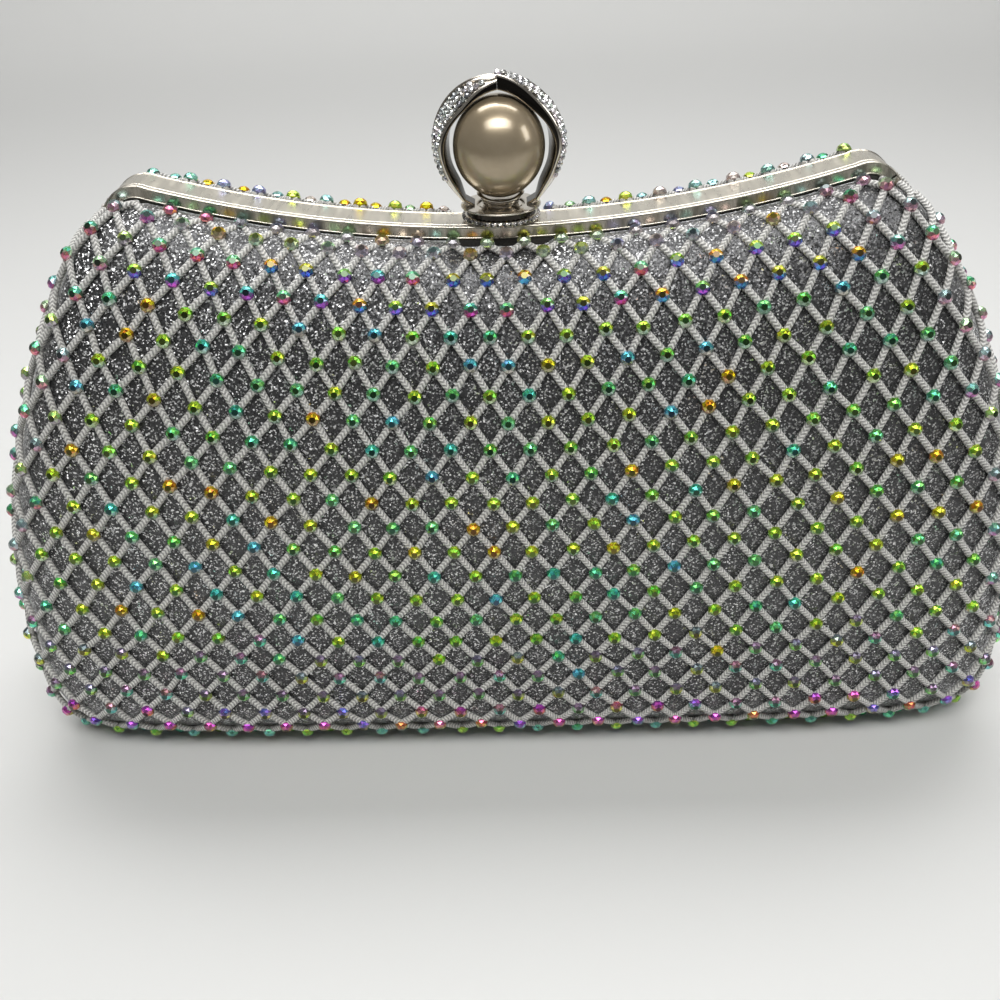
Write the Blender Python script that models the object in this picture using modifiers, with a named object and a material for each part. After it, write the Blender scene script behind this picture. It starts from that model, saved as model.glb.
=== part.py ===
"""Evening clutch bag: two rigid pillowed halves on polished frames, hinged along the base.

A ring clasp with a pearl stands on the rear frame, tilts back on a pin and holds the front frame.
Lengths are in metres. X runs along the bag, -Y is its front and +Z is up.
The origin is at the middle of the base.
"""
import math

import bmesh
import bpy
from mathutils import Matrix, Vector

# The body: outer size of the covered halves, their net included
BAG_WIDTH = 0.212
BAG_DEPTH = 0.056
SEAT_HEIGHT = 0.1087
WIDEST_HEIGHT = 0.0228
BELLY_HEIGHT = 0.034
FOOT_HEIGHT = 0.0139
FOOT_RUN = 0.012
BASE_CORNER_RUN = 0.010
FLANK_DRAW = 0.0318
SHOULDER_RADIUS = 0.0087
TOP_RISE = 0.0093
RISE_EASE_SHARE = 0.18
SECTION_POWER = 5.5
LEAST_RUN = 0.0005

# The rear cover's padding stands up behind the rail, but not behind the clasp or at the corners
CROWN_LIFT = 0.0028
CROWN_DROP = 0.0057
CROWN_NOTCH = 0.0082
CROWN_NOTCH_EASE = 0.0018
CROWN_END_EASE = 0.010

# The layers of a half, from the outside in
COVER_THICKNESS = 0.0020
BOARD_THICKNESS = 0.0014
LINING_THICKNESS = 0.0007
POCKET_THICKNESS = 0.0006
GAP = 0.0003

# The side and base of each cover lap over the frames as far as the seam
SEAM_Y = -0.003
LIP_START = 0.0045
LIP_FULL = 0.0095
LIP_FADE = 0.086
LIP_END = 0.097

# The pocket sewn on the rear lining
POCKET_FOOT_SHARE = 0.30
POCKET_HEAD_SHARE = 0.66
POCKET_EDGE_ANGLE = math.radians(60)

# The frames: a rim that shows on top and a flange that the board and lining meet
FRAME_HALF_DEPTH = 0.0046
RAIL_PROUD = 0.0023
RIM_HEIGHT = 0.0025
FLANGE_REACH = 0.0045
FLANGE_THICKNESS = 0.0009
RAIL_CORNER_RADIUS = 0.0065
LEAST_CORNER_RADIUS = 0.0015
RIM_EDGE = 0.0002

# The hinge under the frames
HINGE_LENGTH = 0.060
KNUCKLE_COUNT = 5
KNUCKLE_RADIUS = 0.0012
KNUCKLE_FLOOR_GAP = 0.0002
HINGE_PIN_RADIUS = 0.0005
HINGE_PIN_CLEARANCE = 0.0002
HINGE_PIN_OVERHANG = 0.0004
HINGE_STRIP_THICKNESS = 0.0007
REAR_STRIP_DEPTH = 0.0045
HINGE_WEB_THICKNESS = 0.0007
WEB_INSET = 0.0002

# The clasp: a drum on the rear frame, turning on a pin behind it
DRUM_RADIUS = 0.0076
DRUM_BASE_RADIUS = 0.0070
DRUM_HEIGHT = 0.0027
DRUM_CLEARANCE = 0.0004
DRUM_BEAD = 0.00045
DRUM_GROOVE_DEPTH = 0.0005
DRUM_DISH_RADIUS = 0.0045
DRUM_DISH_DEPTH = 0.0006
CLASP_AXIS_SETBACK = 0.0018
CLASP_AXIS_DROP = 0.0013
CLASP_EYE_RADIUS = 0.0010
CLASP_PIN_RADIUS = 0.0004
CLASP_PIN_CLEARANCE = 0.0002
EYE_OUTER_REACH = 0.0040
EYE_INNER_REACH = 0.0017
LUG_THICKNESS = 0.0015
LUG_HEIGHT = 0.0018
CLASP_PIN_OVERHANG = 0.0003

# The spring that returns the clasp
SPRING_WIRE_RADIUS = 0.00013
SPRING_COIL_RADIUS = 0.00082
SPRING_HALF_LENGTH = 0.0011
SPRING_TURNS = 4
SPRING_LEG_CLEARANCE = 0.00045

# The latch: a tongue through the rear rim, over a catch on the front frame
TONGUE_WIDTH = 0.0050
TONGUE_THICKNESS = 0.0010
TONGUE_Y = -0.0004
TONGUE_LENGTH = 0.0062
TONGUE_SINK = 0.0012
TONGUE_SIDE_CLEARANCE = 0.0006
TONGUE_SWING_CLEARANCE = 0.0011
CATCH_WIDTH = 0.0080
CATCH_THICKNESS = 0.0008
CATCH_REACH = 0.0038

# The ring and its pearl. Six stations lead up each band from its foot to its tip. At each, the
# edges of its section are given as shares of the ring's radius: the outer edge behind, the rim in
# front, and the opening in front and behind. The left band leans to the front more than the right
RING_RADIUS = 0.0124
RING_LIFT = 0.0010
BAND_HALF_DEPTH = 0.0026
BAND_EDGE = 0.0003
BAND_BULGE = 0.0003
BAND_STATIONS = [math.radians(angle) for angle in (32, 45, 67, 90, 135, 180)]
BAND_OUTER_SHARES = {
    -1: (1.073, 1.040, 1.016, 1.0, 0.960, 0.935),
    1: (1.073, 1.040, 1.016, 1.0, 0.927, 0.935),
}
BAND_RIM_SHARES = {
    -1: (1.040, 0.960, 0.903, 0.871, 0.742, 0.879),
    1: (1.040, 0.960, 0.910, 0.911, 0.831, 0.960),
}
BAND_MOUTH_SHARES = {
    -1: (0.992, 0.903, 0.847, 0.798, 0.680, 0.750),
    1: (0.992, 0.903, 0.850, 0.823, 0.680, 0.750),
}
BAND_THROAT_SHARES = (0.992, 0.855, 0.790, 0.742, 0.698, 0.742)
BAND_FORTH_SHARES = (0.73, 0.88, 1.0, 1.08, 1.12, 0.96)
BAND_BACK_SHARES = {-1: (0.73, 0.88, 0.96, 1.0, 1.0, 0.25), 1: (0.73, 0.88, 0.96, 1.0, 1.0, 1.0)}
PEARL_RADIUS = 0.00855
PEARL_HALF_HEIGHT = 0.0093
PEARL_HOLE_CLEARANCE = 0.0003
CUP_RADIUS = 0.0041
CUP_NECK_RADIUS = 0.0034
CUP_RIDGE = 0.00035
CUP_HEIGHT = 0.0022
CUP_DISH_DEPTH = 0.0009
POST_RADIUS = 0.0006
POST_LENGTH = 0.0050

# Steps of the faceted forms, and the overrun of cutters
SKIN_COLUMNS = 26
SKIN_STEPS = (3, 2, 8)
POCKET_COLUMNS = 10
POCKET_ROWS = 5
RAIL_TOP_STEPS = 20
RAIL_CORNER_STEPS = 6
RAIL_SIDE_STEPS = 12
TURNED_STEPS = 24
ROUND_SEGMENTS = 16
COIL_STEPS = 8
BAND_STEPS = 24
MERGE_DISTANCE = 0.00001
OVERRUN = 0.0005
SHARP_ANGLE = math.radians(35)

# Places worked out from the sizes above
HALF_WIDTH = BAG_WIDTH / 2
HALF_DEPTH = BAG_DEPTH / 2
SEAT_Y = FRAME_HALF_DEPTH + GAP
TOP_REACH = HALF_WIDTH - FLANK_DRAW - SHOULDER_RADIUS
BOARD_INSET = COVER_THICKNESS + GAP
LINING_INSET = BOARD_INSET + BOARD_THICKNESS + GAP
POCKET_INSET = LINING_INSET + LINING_THICKNESS + GAP
FRONT_SEAM_Y = SEAM_Y - GAP / 2
REAR_SEAM_Y = SEAM_Y + GAP / 2
RAIL_TOP = SEAT_HEIGHT + RAIL_PROUD
HINGE_Z = KNUCKLE_RADIUS + KNUCKLE_FLOOR_GAP
STRIP_BOTTOM = HINGE_Z + KNUCKLE_RADIUS + GAP
STRIP_TOP = STRIP_BOTTOM + HINGE_STRIP_THICKNESS
RAIL_BASE = STRIP_TOP + GAP
DRUM_BOTTOM = RAIL_TOP + DRUM_CLEARANCE
DRUM_TOP = DRUM_BOTTOM + DRUM_HEIGHT
CLASP_AXIS_Y = FRAME_HALF_DEPTH + CLASP_AXIS_SETBACK
CLASP_AXIS_Z = DRUM_BOTTOM - CLASP_AXIS_DROP
DISH_Z = DRUM_TOP - DRUM_DISH_DEPTH
CUP_BOTTOM = DISH_Z + GAP
CUP_DISH_Z = CUP_BOTTOM + CUP_HEIGHT - CUP_DISH_DEPTH
PEARL_BOTTOM = CUP_DISH_Z + GAP
PEARL_Z = PEARL_BOTTOM + PEARL_HALF_HEIGHT
RING_Z = PEARL_Z + RING_LIFT
BAND_FOOT_Z = DRUM_TOP + GAP
TONGUE_TIP = RAIL_TOP - TONGUE_LENGTH
CATCH_TOP = TONGUE_TIP - GAP

# Colour, roughness and metallic value of each material
FINISHES = {
    "glitter_cloth": ((0.16, 0.16, 0.17), 0.60, 0.2),
    "shell_board": ((0.34, 0.31, 0.27), 0.85, 0.0),
    "satin_lining": ((0.42, 0.42, 0.44), 0.45, 0.0),
    "polished_nickel": ((0.72, 0.70, 0.66), 0.16, 1.0),
    "hinge_steel": ((0.55, 0.55, 0.55), 0.35, 1.0),
    "pearl_coat": ((0.72, 0.63, 0.46), 0.18, 0.0),
}


def clear_scene():
    for thing in list(bpy.data.objects):
        bpy.data.objects.remove(thing, do_unlink=True)


def collection(name):
    group = bpy.data.collections.new(name)
    bpy.context.scene.collection.children.link(group)
    return group


def finish(name):
    if name in bpy.data.materials:
        return bpy.data.materials[name]
    colour, roughness, metallic = FINISHES[name]
    material = bpy.data.materials.new(name)
    material.use_nodes = True
    shader = material.node_tree.nodes["Principled BSDF"]
    shader.inputs["Base Color"].default_value = (*colour, 1.0)
    shader.inputs["Roughness"].default_value = roughness
    shader.inputs["Metallic"].default_value = metallic
    return material


def piece(name, form, material, group):
    """Put a bmesh or a mesh in the bag's collection as one named piece."""
    mesh = form
    if isinstance(form, bmesh.types.BMesh):
        bmesh.ops.recalc_face_normals(form, faces=form.faces)
        mesh = bpy.data.meshes.new(name)
        form.to_mesh(mesh)
        form.free()
    mesh.materials.clear()
    mesh.materials.append(finish(material))
    thing = bpy.data.objects.new(name, mesh)
    group.objects.link(thing)
    return thing


def tool(name, form, group):
    """A cutter or an addition, which a piece's modifier reads and the model leaves out."""
    thing = piece(name, form, "hinge_steel", group)
    thing.hide_render = True
    thing.display_type = "WIRE"
    return thing


def combine(thing, other, operation):
    change = thing.modifiers.new(other.name, "BOOLEAN")
    change.operation = operation
    change.solver = "EXACT"
    change.object = other


def hang_on(thing, pivot):
    """Give a moving piece its parent on the joint's axis, and leave it where it is."""
    thing.parent = pivot
    thing.matrix_parent_inverse = Matrix.Translation(-pivot.location)


def box(low, high):
    form = bmesh.new()
    bmesh.ops.create_cube(form, size=1)
    size = [top - bottom for bottom, top in zip(low, high)]
    middle = [(top + bottom) / 2 for bottom, top in zip(low, high)]
    bmesh.ops.scale(form, vec=size, verts=form.verts)
    bmesh.ops.translate(form, vec=middle, verts=form.verts)
    return form


def rod_along_x(radius, left, right, y, z):
    form = bmesh.new()
    bmesh.ops.create_cone(form, cap_ends=True, segments=ROUND_SEGMENTS,
                          radius1=radius, radius2=radius, depth=right - left)
    bmesh.ops.rotate(form, matrix=Matrix.Rotation(math.pi / 2, 3, "Y"), verts=form.verts)
    bmesh.ops.translate(form, vec=((left + right) / 2, y, z), verts=form.verts)
    return form


def turned(name, profile, material, group):
    """Turn a profile of (radius, height) points, given from the top down, about the Z axis."""
    mesh = bpy.data.meshes.new(name)
    points = [(radius, 0, height) for radius, height in profile]
    edges = [(i, i + 1) for i in range(len(points) - 1)]
    mesh.from_pydata(points, edges, [])
    thing = piece(name, mesh, material, group)
    screw = thing.modifiers.new("turn", "SCREW")
    screw.steps = TURNED_STEPS
    screw.render_steps = TURNED_STEPS
    screw.use_merge_vertices = True
    screw.merge_threshold = MERGE_DISTANCE
    return thing


def loft(rings, closed=False):
    """Join like rings of points into a solid, with flat ends, or closed on its first ring."""
    form = bmesh.new()
    rows = [[form.verts.new(point) for point in ring] for ring in rings]
    count = len(rows[0])
    following = rows[1:] + rows[:1] if closed else rows[1:]
    for row, after in zip(rows, following):
        for i in range(count):
            j = (i + 1) % count
            form.faces.new((row[i], row[j], after[j], after[i]))
    if not closed:
        form.faces.new(rows[0])
        form.faces.new(rows[-1])
    return form


def rise(x):
    """How far the top line stands above its middle at x: a sag that eases out past the crest."""
    share = abs(x) / TOP_REACH
    if share <= 1:
        return TOP_RISE * share ** 2
    return TOP_RISE * (1 + 2 * RISE_EASE_SHARE * math.tanh((share - 1) / RISE_EASE_SHARE))


def quarter(share):
    """Rise of a quarter round from 0 to 1."""
    return math.sqrt(max(0, 1 - (1 - min(max(share, 0), 1)) ** 2))


def flank_width(height, inset, base):
    """Half-width of the outline at a height, without its rounded shoulders."""
    widest = HALF_WIDTH - inset
    if height >= WIDEST_HEIGHT:
        return widest - FLANK_DRAW * ((height - WIDEST_HEIGHT) / (SEAT_HEIGHT - WIDEST_HEIGHT)) ** 2
    run = max(BASE_CORNER_RUN - inset, LEAST_RUN)
    return widest - run * (1 - quarter((height - base) / (WIDEST_HEIGHT - base)))


def skin_half_width(height, inset):
    radius = max(SHOULDER_RADIUS - inset, LEAST_RUN)
    over = min(max((height - SEAT_HEIGHT + inset + radius) / radius, 0), 1)
    return flank_width(height, inset, inset) - radius * (1 - math.sqrt(1 - over ** 2))


def skin_half_depth(height, inset):
    """Depth of the front or rear face at the middle: a rounded foot, then an elliptical crown."""
    deepest = HALF_DEPTH - inset
    if height >= BELLY_HEIGHT:
        share = (height - BELLY_HEIGHT) / (SEAT_HEIGHT - inset - BELLY_HEIGHT)
        return SEAT_Y + (deepest - SEAT_Y) * math.sqrt(max(0, 1 - share ** 2))
    run = max(FOOT_RUN - inset, LEAST_RUN)
    return deepest - run * (1 - quarter((height - inset) / (FOOT_HEIGHT - inset)))


def standing_height(x, height):
    """The height at x of a level that stands at the given height at the middle."""
    return height * (SEAT_HEIGHT + rise(x)) / SEAT_HEIGHT


def crown_lift(x, height):
    """How much higher the rear cover's outer face stands than the front one's."""
    up = max(0, (height - SEAT_HEIGHT + CROWN_DROP) / CROWN_DROP) ** 2
    beside = min(max((abs(x) - CROWN_NOTCH) / CROWN_NOTCH_EASE, 0), 1)
    within = min(max((TOP_REACH - abs(x)) / CROWN_END_EASE, 0), 1)
    return CROWN_LIFT * up * beside * within


def skin_heights(inset):
    """Levels of a skin: through its foot, up to the belly, and closer and closer to its top."""
    foot_steps, belly_steps, crown_steps = SKIN_STEPS
    heights = []
    for i in range(foot_steps):
        turn = math.pi / 2 * i / foot_steps
        heights.append(inset + (FOOT_HEIGHT - inset) * (1 - math.cos(turn)))
    for i in range(belly_steps):
        heights.append(FOOT_HEIGHT + (BELLY_HEIGHT - FOOT_HEIGHT) * i / belly_steps)
    for i in range(crown_steps + 1):
        turn = math.pi / 2 * i / crown_steps
        heights.append(BELLY_HEIGHT + (SEAT_HEIGHT - inset - BELLY_HEIGHT) * math.sin(turn))
    return heights


def even_angles(first, last, count):
    return [first + (last - first) * i / count for i in range(count + 1)]


def lip_at(height, length):
    """Length of a cover's lip over the frames: none at the base groove and at the shoulders."""
    start = min(max((height - LIP_START) / (LIP_FULL - LIP_START), 0), 1)
    end = min(max((LIP_END - height) / (LIP_END - LIP_FADE), 0), 1)
    return length * min(start, end)


def skin_row(side, angles, height, inset, lip):
    """One level of a skin, from +X round its face to -X. side is -1 for the front, 1 for the rear."""
    width = skin_half_width(height, inset)
    bulge = skin_half_depth(height, inset) - SEAT_Y
    row = []
    for angle in angles:
        across = math.cos(angle)
        out = math.sin(angle)
        reach = (abs(across) ** SECTION_POWER + abs(out) ** SECTION_POWER) ** (-1 / SECTION_POWER)
        x = width * reach * across
        lift = crown_lift(x, height) if side == 1 and inset == 0 else 0
        z = standing_height(x, height) + lift
        row.append(Vector((x, side * (SEAT_Y + bulge * reach * out), z)))
    if lip is not None:
        shift = Vector((0, side * lip_at(height, lip), 0))
        row = [row[0] - shift] + row + [row[-1] - shift]
    return row


def skin(side, inset, thickness, angles, heights_of, lip=None, floor=True):
    """A layer of a half: two like surfaces, joined round their edge. The floor closes its base."""
    form = bmesh.new()
    sheets = []
    for depth in (inset, inset + thickness):
        rows = [skin_row(side, angles, height, depth, lip) for height in heights_of(depth)]
        sheets.append([[form.verts.new(point) for point in row] for row in rows])
    edges = []
    for rows in sheets:
        for row, above in zip(rows, rows[1:]):
            for i in range(len(row) - 1):
                form.faces.new((row[i], row[i + 1], above[i + 1], above[i]))
        if floor:
            form.faces.new(rows[0])
        start = [rows[0][0]] if floor else list(rows[0])
        edge = start[::-1] + [row[0] for row in rows[1:]] + rows[-1][1:]
        edge += [row[-1] for row in rows[-2::-1]]
        edges.append(edge if floor else edge[:-1])
    outer, inner = edges
    for i in range(len(outer)):
        j = (i + 1) % len(outer)
        form.faces.new((outer[i], outer[j], inner[j], inner[i]))
    bmesh.ops.remove_doubles(form, verts=form.verts, dist=MERGE_DISTANCE)
    return form


def make_half(name, side, lip, group):
    """The cover, board and lining of one half, on like levels so that they nest."""
    angles = even_angles(0, math.pi, SKIN_COLUMNS)
    if side == 1:
        inner = math.atan(CROWN_NOTCH / TOP_REACH)
        outer = math.atan((CROWN_NOTCH + CROWN_NOTCH_EASE) / TOP_REACH)
        beside = [math.pi / 2 + lean for lean in (-outer, -inner, 0, inner, outer)]
        angles = sorted(beside + [angle for angle in angles if abs(angle - math.pi / 2) > outer])
    cover = skin(side, 0, COVER_THICKNESS, angles, skin_heights, lip)
    board = skin(side, BOARD_INSET, BOARD_THICKNESS, angles, skin_heights)
    lining = skin(side, LINING_INSET, LINING_THICKNESS, angles, skin_heights)
    return [piece(name + "_cover", cover, "glitter_cloth", group),
            piece(name + "_board", board, "shell_board", group),
            piece(name + "_lining", lining, "satin_lining", group)]


def make_pocket(group):
    angles = even_angles(POCKET_EDGE_ANGLE, math.pi - POCKET_EDGE_ANGLE, POCKET_COLUMNS)
    low = SEAT_HEIGHT * POCKET_FOOT_SHARE
    high = SEAT_HEIGHT * POCKET_HEAD_SHARE
    heights = [low + (high - low) * i / POCKET_ROWS for i in range(POCKET_ROWS + 1)]
    form = skin(1, POCKET_INSET, POCKET_THICKNESS, angles, lambda depth: heights, floor=False)
    return piece("slip_pocket", form, "satin_lining", group)


def rail_side(height, inset):
    x = flank_width(height, inset, RAIL_BASE + inset - BOARD_INSET)
    return Vector((x, standing_height(x, height)))


def rail_corner(inset):
    """The point where the rail's top line and its side line would meet, and the level there."""
    drop = inset - BOARD_INSET
    low, high = SEAT_HEIGHT / 2, SEAT_HEIGHT * 2
    while high - low > MERGE_DISTANCE:
        middle = (low + high) / 2
        point = rail_side(middle, inset)
        if point.y < RAIL_TOP - drop + rise(point.x):
            low = middle
        else:
            high = middle
    return rail_side(low, inset), low


def rail_loop(reach):
    """Outline of the frames, or of their opening where reach is measured in from the outline."""
    inset = BOARD_INSET + reach
    corner, level = rail_corner(inset)
    radius = max(RAIL_CORNER_RADIUS - reach, LEAST_CORNER_RADIUS)
    along = Vector((MERGE_DISTANCE, rise(corner.x) - rise(corner.x - MERGE_DISTANCE))).normalized()
    down = (rail_side(level - radius, inset) - corner).normalized()
    cut = radius * math.tan(along.angle(down) / 2)
    first = corner - along * cut
    last = corner + down * cut
    centre = first + Vector((along.y, -along.x)) * radius
    half = []
    for i in range(RAIL_TOP_STEPS // 2):
        x = first.x * 2 * i / RAIL_TOP_STEPS
        half.append((x, RAIL_TOP - reach + rise(x)))
    start = math.atan2(first.y - centre.y, first.x - centre.x)
    end = math.atan2(last.y - centre.y, last.x - centre.x)
    for angle in even_angles(start, end, RAIL_CORNER_STEPS):
        half.append((centre.x + radius * math.cos(angle), centre.y + radius * math.sin(angle)))
    end_level = level * last.y / corner.y
    base = RAIL_BASE + reach
    for i in range(1, RAIL_SIDE_STEPS + 1):
        share = math.sin(math.pi / 2 * i / RAIL_SIDE_STEPS) ** 2
        level_here = end_level + (base - end_level) * share
        point = rail_side(level_here, inset)
        half.append((point.x, max(point.y, base) if i < RAIL_SIDE_STEPS else base))
    mirrored = [(-x, z) for x, z in half[:0:-1]]
    return half + mirrored


def make_frame(name, side, seam_y, group):
    """A frame: its section, a chamfered rim with a thinner flange, carried round the outline.

    side is -1 for the front frame and 1 for the rear one.
    """
    face_y = side * FRAME_HALF_DEPTH
    flange_y = face_y - side * RIM_EDGE
    back_y = flange_y - side * FLANGE_THICKNESS
    full = RIM_HEIGHT + FLANGE_REACH
    section = [
        (0, seam_y), (0, face_y - side * RIM_EDGE), (RIM_EDGE, face_y),
        (RIM_HEIGHT - RIM_EDGE, face_y), (RIM_HEIGHT, flange_y), (full, flange_y),
        (full, back_y), (RIM_HEIGHT, back_y), (RIM_HEIGHT, seam_y),
    ]
    rings = [[Vector((x, y, z)) for x, z in rail_loop(reach)] for reach, y in section]
    return piece(name + "_frame", loft(rings, closed=True), "polished_nickel", group)


def make_frames(group, tools):
    front = make_frame("front", -1, FRONT_SEAM_Y, group)
    rear = make_frame("rear", 1, REAR_SEAM_Y, group)
    half_slot = TONGUE_WIDTH / 2 + TONGUE_SIDE_CLEARANCE
    slot_reach = TONGUE_THICKNESS / 2 + TONGUE_SWING_CLEARANCE
    slot = box((-half_slot, TONGUE_Y - slot_reach, RAIL_TOP - RIM_HEIGHT - OVERRUN),
               (half_slot, TONGUE_Y + slot_reach, RAIL_TOP + OVERRUN))
    combine(rear, tool("latch_slot", slot, tools), "DIFFERENCE")
    return front, rear


def make_hinge_leaf(name, side, strip_front, strip_rear, owned, group, tools):
    """A strip under a frame, with its knuckles below it. owned tells which knuckles are its own."""
    half = HINGE_LENGTH / 2
    strip = box((-half, strip_front, STRIP_BOTTOM), (half, strip_rear, STRIP_TOP))
    leaf = piece(name, strip, "hinge_steel", group)
    pitch = HINGE_LENGTH / KNUCKLE_COUNT
    for i in owned:
        left = -half + pitch * i + GAP / 2
        right = left + pitch - GAP
        barrel = rod_along_x(KNUCKLE_RADIUS, left, right, SEAM_Y, HINGE_Z)
        combine(leaf, tool(f"{name}_barrel_{i}", barrel, tools), "UNION")
        near = SEAM_Y + side * GAP
        far = near + side * HINGE_WEB_THICKNESS
        web = box((left + WEB_INSET, min(near, far), HINGE_Z),
                  (right - WEB_INSET, max(near, far), STRIP_BOTTOM + GAP))
        combine(leaf, tool(f"{name}_web_{i}", web, tools), "UNION")
    bore = rod_along_x(HINGE_PIN_RADIUS + HINGE_PIN_CLEARANCE, -half - OVERRUN, half + OVERRUN,
                       SEAM_Y, HINGE_Z)
    combine(leaf, tool(name + "_bore", bore, tools), "DIFFERENCE")
    return leaf


def make_hinge(group, tools):
    make_hinge_leaf("rear_hinge_leaf", 1, REAR_SEAM_Y, REAR_SEAM_Y + REAR_STRIP_DEPTH,
                    range(0, KNUCKLE_COUNT, 2), group, tools)
    front = make_hinge_leaf("front_hinge_leaf", -1, -FRAME_HALF_DEPTH, FRONT_SEAM_Y,
                            range(1, KNUCKLE_COUNT, 2), group, tools)
    end = HINGE_LENGTH / 2 + HINGE_PIN_OVERHANG
    pin = rod_along_x(HINGE_PIN_RADIUS, -end, end, SEAM_Y, HINGE_Z)
    return front, piece("hinge_pin", pin, "hinge_steel", group)


def make_lug(name, side, group, tools):
    """An ear on the rear rim's back that carries the clasp's pin."""
    near = side * (EYE_OUTER_REACH + GAP)
    far = near + side * LUG_THICKNESS
    left, right = min(near, far), max(near, far)
    half_height = LUG_HEIGHT / 2
    stem = box((left + WEB_INSET, FRAME_HALF_DEPTH + GAP, CLASP_AXIS_Z - half_height),
               (right - WEB_INSET, CLASP_AXIS_Y, CLASP_AXIS_Z + half_height))
    lug = piece(name, stem, "polished_nickel", group)
    eye = rod_along_x(CLASP_EYE_RADIUS, left, right, CLASP_AXIS_Y, CLASP_AXIS_Z)
    combine(lug, tool(name + "_eye", eye, tools), "UNION")
    bore = rod_along_x(CLASP_PIN_RADIUS + CLASP_PIN_CLEARANCE, left - OVERRUN, right + OVERRUN,
                       CLASP_AXIS_Y, CLASP_AXIS_Z)
    combine(lug, tool(name + "_bore", bore, tools), "DIFFERENCE")


def make_drum(group, tools):
    """The clasp's foot: a beaded and grooved drum with a dish on top and two eyes below."""
    groove = DRUM_BASE_RADIUS - DRUM_GROOVE_DEPTH
    shoulder = DRUM_RADIUS - DRUM_BEAD
    profile = [
        (0, DISH_Z), (DRUM_DISH_RADIUS, DISH_Z), (DRUM_DISH_RADIUS, DRUM_TOP),
        (shoulder, DRUM_TOP), (DRUM_RADIUS, DRUM_TOP - DRUM_BEAD),
        (shoulder, DRUM_TOP - 2 * DRUM_BEAD), (groove, DRUM_TOP - 2 * DRUM_BEAD),
        (groove, DRUM_BOTTOM + 2 * DRUM_BEAD), (DRUM_BASE_RADIUS, DRUM_BOTTOM + 2 * DRUM_BEAD),
        (DRUM_BASE_RADIUS, DRUM_BOTTOM + DRUM_BEAD), (DRUM_BASE_RADIUS - DRUM_BEAD, DRUM_BOTTOM),
        (0, DRUM_BOTTOM),
    ]
    drum = turned("clasp_drum", profile, "polished_nickel", group)
    for side in (-1, 1):
        ends = sorted((side * EYE_INNER_REACH, side * EYE_OUTER_REACH))
        eye = rod_along_x(CLASP_EYE_RADIUS, *ends, CLASP_AXIS_Y, CLASP_AXIS_Z)
        combine(drum, tool(f"drum_eye_{side}", eye, tools), "UNION")
        web = box((ends[0] + WEB_INSET, CLASP_AXIS_Y - CLASP_EYE_RADIUS + WEB_INSET, CLASP_AXIS_Z),
                  (ends[1] - WEB_INSET, CLASP_AXIS_Y, DRUM_BOTTOM + OVERRUN))
        combine(drum, tool(f"drum_web_{side}", web, tools), "UNION")
    reach = EYE_OUTER_REACH + OVERRUN
    bore = rod_along_x(CLASP_PIN_RADIUS + CLASP_PIN_CLEARANCE, -reach, reach,
                       CLASP_AXIS_Y, CLASP_AXIS_Z)
    combine(drum, tool("drum_bore", bore, tools), "DIFFERENCE")
    half = TONGUE_WIDTH / 2 + GAP
    depth = TONGUE_THICKNESS / 2 + GAP
    pocket = box((-half, TONGUE_Y - depth, DRUM_BOTTOM - OVERRUN),
                 (half, TONGUE_Y + depth, DRUM_BOTTOM + TONGUE_SINK + GAP))
    combine(drum, tool("tongue_pocket", pocket, tools), "DIFFERENCE")
    return drum


def make_tongue(group):
    half = TONGUE_WIDTH / 2
    depth = TONGUE_THICKNESS / 2
    form = box((-half, TONGUE_Y - depth, TONGUE_TIP),
               (half, TONGUE_Y + depth, DRUM_BOTTOM + TONGUE_SINK))
    return piece("latch_tongue", form, "polished_nickel", group)


def make_catch(group, tools):
    """A bent plate on the front flange, whose foot reaches back under the tongue."""
    half = CATCH_WIDTH / 2
    front = -FRAME_HALF_DEPTH + RIM_EDGE + FLANGE_THICKNESS + GAP
    foot = box((-half, front, CATCH_TOP - CATCH_THICKNESS),
               (half, front + CATCH_THICKNESS + CATCH_REACH, CATCH_TOP))
    catch = piece("catch_plate", foot, "polished_nickel", group)
    back = box((-half, front, CATCH_TOP - CATCH_THICKNESS),
               (half, front + CATCH_THICKNESS, RAIL_TOP - RIM_HEIGHT - GAP))
    combine(catch, tool("catch_back", back, tools), "UNION")
    return catch


def make_clasp_spring(group):
    """A torsion spring round the pin: one leg on the rear rim's back, one under the drum."""
    points = [(-SPRING_HALF_LENGTH, FRAME_HALF_DEPTH + GAP, CLASP_AXIS_Z - SPRING_COIL_RADIUS)]
    steps = SPRING_TURNS * COIL_STEPS + COIL_STEPS // 4
    for i in range(steps + 1):
        turn = 2 * math.pi * i / COIL_STEPS - math.pi / 2
        x = -SPRING_HALF_LENGTH + 2 * SPRING_HALF_LENGTH * i / steps
        points.append((x, CLASP_AXIS_Y + SPRING_COIL_RADIUS * math.cos(turn),
                       CLASP_AXIS_Z + SPRING_COIL_RADIUS * math.sin(turn)))
    points.append((SPRING_HALF_LENGTH, points[-1][1], DRUM_BOTTOM - SPRING_LEG_CLEARANCE))
    curve = bpy.data.curves.new("clasp_spring", "CURVE")
    curve.dimensions = "3D"
    curve.bevel_depth = SPRING_WIRE_RADIUS
    curve.bevel_resolution = 1
    curve.use_fill_caps = True
    spline = curve.splines.new("POLY")
    spline.points.add(len(points) - 1)
    for point, place in zip(spline.points, points):
        point.co = (*place, 1)
    curve.materials.append(finish("hinge_steel"))
    group.objects.link(bpy.data.objects.new("clasp_spring", curve))


def smooth_through(values, place):
    """A smooth line through values that stand at the whole places."""
    i = min(int(place), len(values) - 2)
    share = place - i
    first, last = values[i], values[i + 1]
    before = values[max(i - 1, 0)]
    after = values[min(i + 2, len(values) - 1)]
    curve = 2 * before - 5 * first + 4 * last - after + share * (3 * (first - last) + after - before)
    return first + share / 2 * (last - before + share * curve)


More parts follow.
